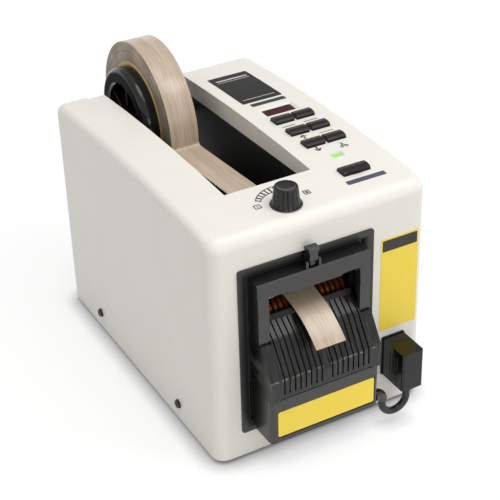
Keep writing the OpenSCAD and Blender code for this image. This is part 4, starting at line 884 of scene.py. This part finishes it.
def mix_shaders(tree, factor, first, second, out):
    """Second shader where the factor is 1, and else the first, to the output."""
    mix = add(tree, "ShaderNodeMixShader")
    tree.links.new(factor, mix.inputs["Fac"])
    tree.links.new(first, mix.inputs[1])
    tree.links.new(second, mix.inputs[2])
    tree.links.new(mix.outputs["Shader"], out.inputs["Surface"])


def make_floor():
    """Pale floor that shows as white with the object's shadow, and a painted contact shade that darkens it
    near the object.
    """
    half_size, close, glow_strength = 4.0, 0.012, 0.61
    bm = bmesh.new()
    bmesh.ops.create_grid(bm, x_segments=8, y_segments=8, size=half_size)
    mesh = bpy.data.meshes.new("floor")
    bm.to_mesh(mesh)
    bm.free()
    floor = bpy.data.objects.new("floor", mesh)
    scene.collection.objects.link(floor)
    material = bpy.data.materials.new("floor_pale")
    material.use_nodes = True
    tree = material.node_tree
    tree.nodes.clear()
    out = add(tree, "ShaderNodeOutputMaterial")
    pale = add(tree, "ShaderNodeBsdfDiffuse", Color=(0.7, 0.7, 0.69, 1))
    # Painted contact shade: ambient occlusion darkens the floor's colour and glow near the object
    near = add(tree, "ShaderNodeAmbientOcclusion", samples=16, Distance=close, Color=(0.45, 0.45, 0.45, 1))
    lit = add(tree, "ShaderNodeBsdfDiffuse")
    tree.links.new(near.outputs["Color"], lit.inputs["Color"])
    glow = add(tree, "ShaderNodeEmission", Color=(1, 1, 1, 1))
    tree.links.new(number(tree, "MULTIPLY", near.outputs["AO"], glow_strength), glow.inputs["Strength"])
    both = add(tree, "ShaderNodeAddShader")
    tree.links.new(lit.outputs["BSDF"], both.inputs[0])
    tree.links.new(glow.outputs["Emission"], both.inputs[1])
    mix_shaders(tree, background_rays(tree), pale.outputs["BSDF"], both.outputs["Shader"], out)
    mesh.materials.append(material)


def make_world():
    """Soft light that is brighter from above in front, with a white backdrop low down."""
    brightest, weakest, strongest = Vector((0.15, -0.5, 0.85)).normalized(), 0.25, 0.69
    backdrop_full, backdrop_end = 0.15, 0.45
    world = bpy.data.worlds.new("studio")
    scene.world = world
    world.use_nodes = True
    tree = world.node_tree
    tree.nodes.clear()
    out = add(tree, "ShaderNodeOutputWorld")
    direction = add(tree, "ShaderNodeTexCoord").outputs["Generated"]
    facing = vector(tree, "DOT_PRODUCT", direction, brightest)
    soft = add(tree, "ShaderNodeBackground", Color=(1.0, 0.995, 0.985, 1))
    tree.links.new(remap(tree, facing, (-1.0, 1.0), (weakest, strongest)), soft.inputs["Strength"])
    white = add(tree, "ShaderNodeBackground", Color=(1, 1, 1, 1), Strength=1.0)
    parts = add(tree, "ShaderNodeSeparateXYZ")
    tree.links.new(direction, parts.inputs["Vector"])
    backdrop = remap(tree, parts.outputs["Z"], (backdrop_full, backdrop_end), (1.0, 0.0),
                     interpolation_type="SMOOTHSTEP")
    shown = number(tree, "MULTIPLY", background_rays(tree), backdrop)
    mix_shaders(tree, shown, soft.outputs["Background"], white.outputs["Background"], out)


def aim(light, place, target):
    """Lamp at a place in metres, turned to a target."""
    lamp = bpy.data.objects.new(light.name, light)
    scene.collection.objects.link(lamp)
    lamp.location = place
    lamp.rotation_euler = (place - target).to_track_quat("Z", "Y").to_euler()


def make_lamps():
    """A wide sun from above, a lamp over the front at the right and a low one before the part."""
    sun = bpy.data.lights.new("key", "SUN")
    sun.energy = 0.78
    sun.angle = math.radians(35)
    aim(sun, Vector((0.0, -0.16, 0.98)), Vector((0, 0, 0)))
    over = bpy.data.lights.new("over", "AREA")
    over.energy = 1.35
    over.size = 0.3
    aim(over, Vector((0.3, -0.32, 0.78)), Vector((0, -0.06, 0.12)))
    front = bpy.data.lights.new("front", "AREA")
    front.energy = 1.2
    front.size = 0.5
    aim(front, Vector((-0.1, -1.1, 0.22)), Vector((0, -0.1, 0.08)))


def make_camera():
    """Camera of the photograph, with its focal length and picture width in pixels."""
    focal, picture, sensor = 1388.0, 500.0, 36.0
    place = at(-342.1, -547.3, 525.8)
    azimuth, elevation, tilt = math.radians(-28.48), math.radians(31.98), math.radians(-1.70)
    lens = bpy.data.cameras.new("camera")
    lens.sensor_width = sensor
    lens.lens = focal / picture * sensor
    lens.clip_end = 50.0
    camera = bpy.data.objects.new("camera", lens)
    scene.collection.objects.link(camera)
    back = Vector((math.sin(azimuth) * math.cos(elevation), -math.cos(azimuth) * math.cos(elevation),
                   math.sin(elevation)))
    right = Vector((math.cos(azimuth), math.sin(azimuth), 0))
    up = back.cross(right)
    c, s = math.cos(tilt), math.sin(tilt)
    right, up = right * c + up * s, up * c - right * s
    turn = Matrix((right, up, back)).transposed().to_4x4()
    camera.matrix_world = Matrix.Translation(place) @ turn
    scene.camera = camera


make_floor()
make_world()
make_lamps()
make_camera()
scene.view_settings.view_transform = "Standard"
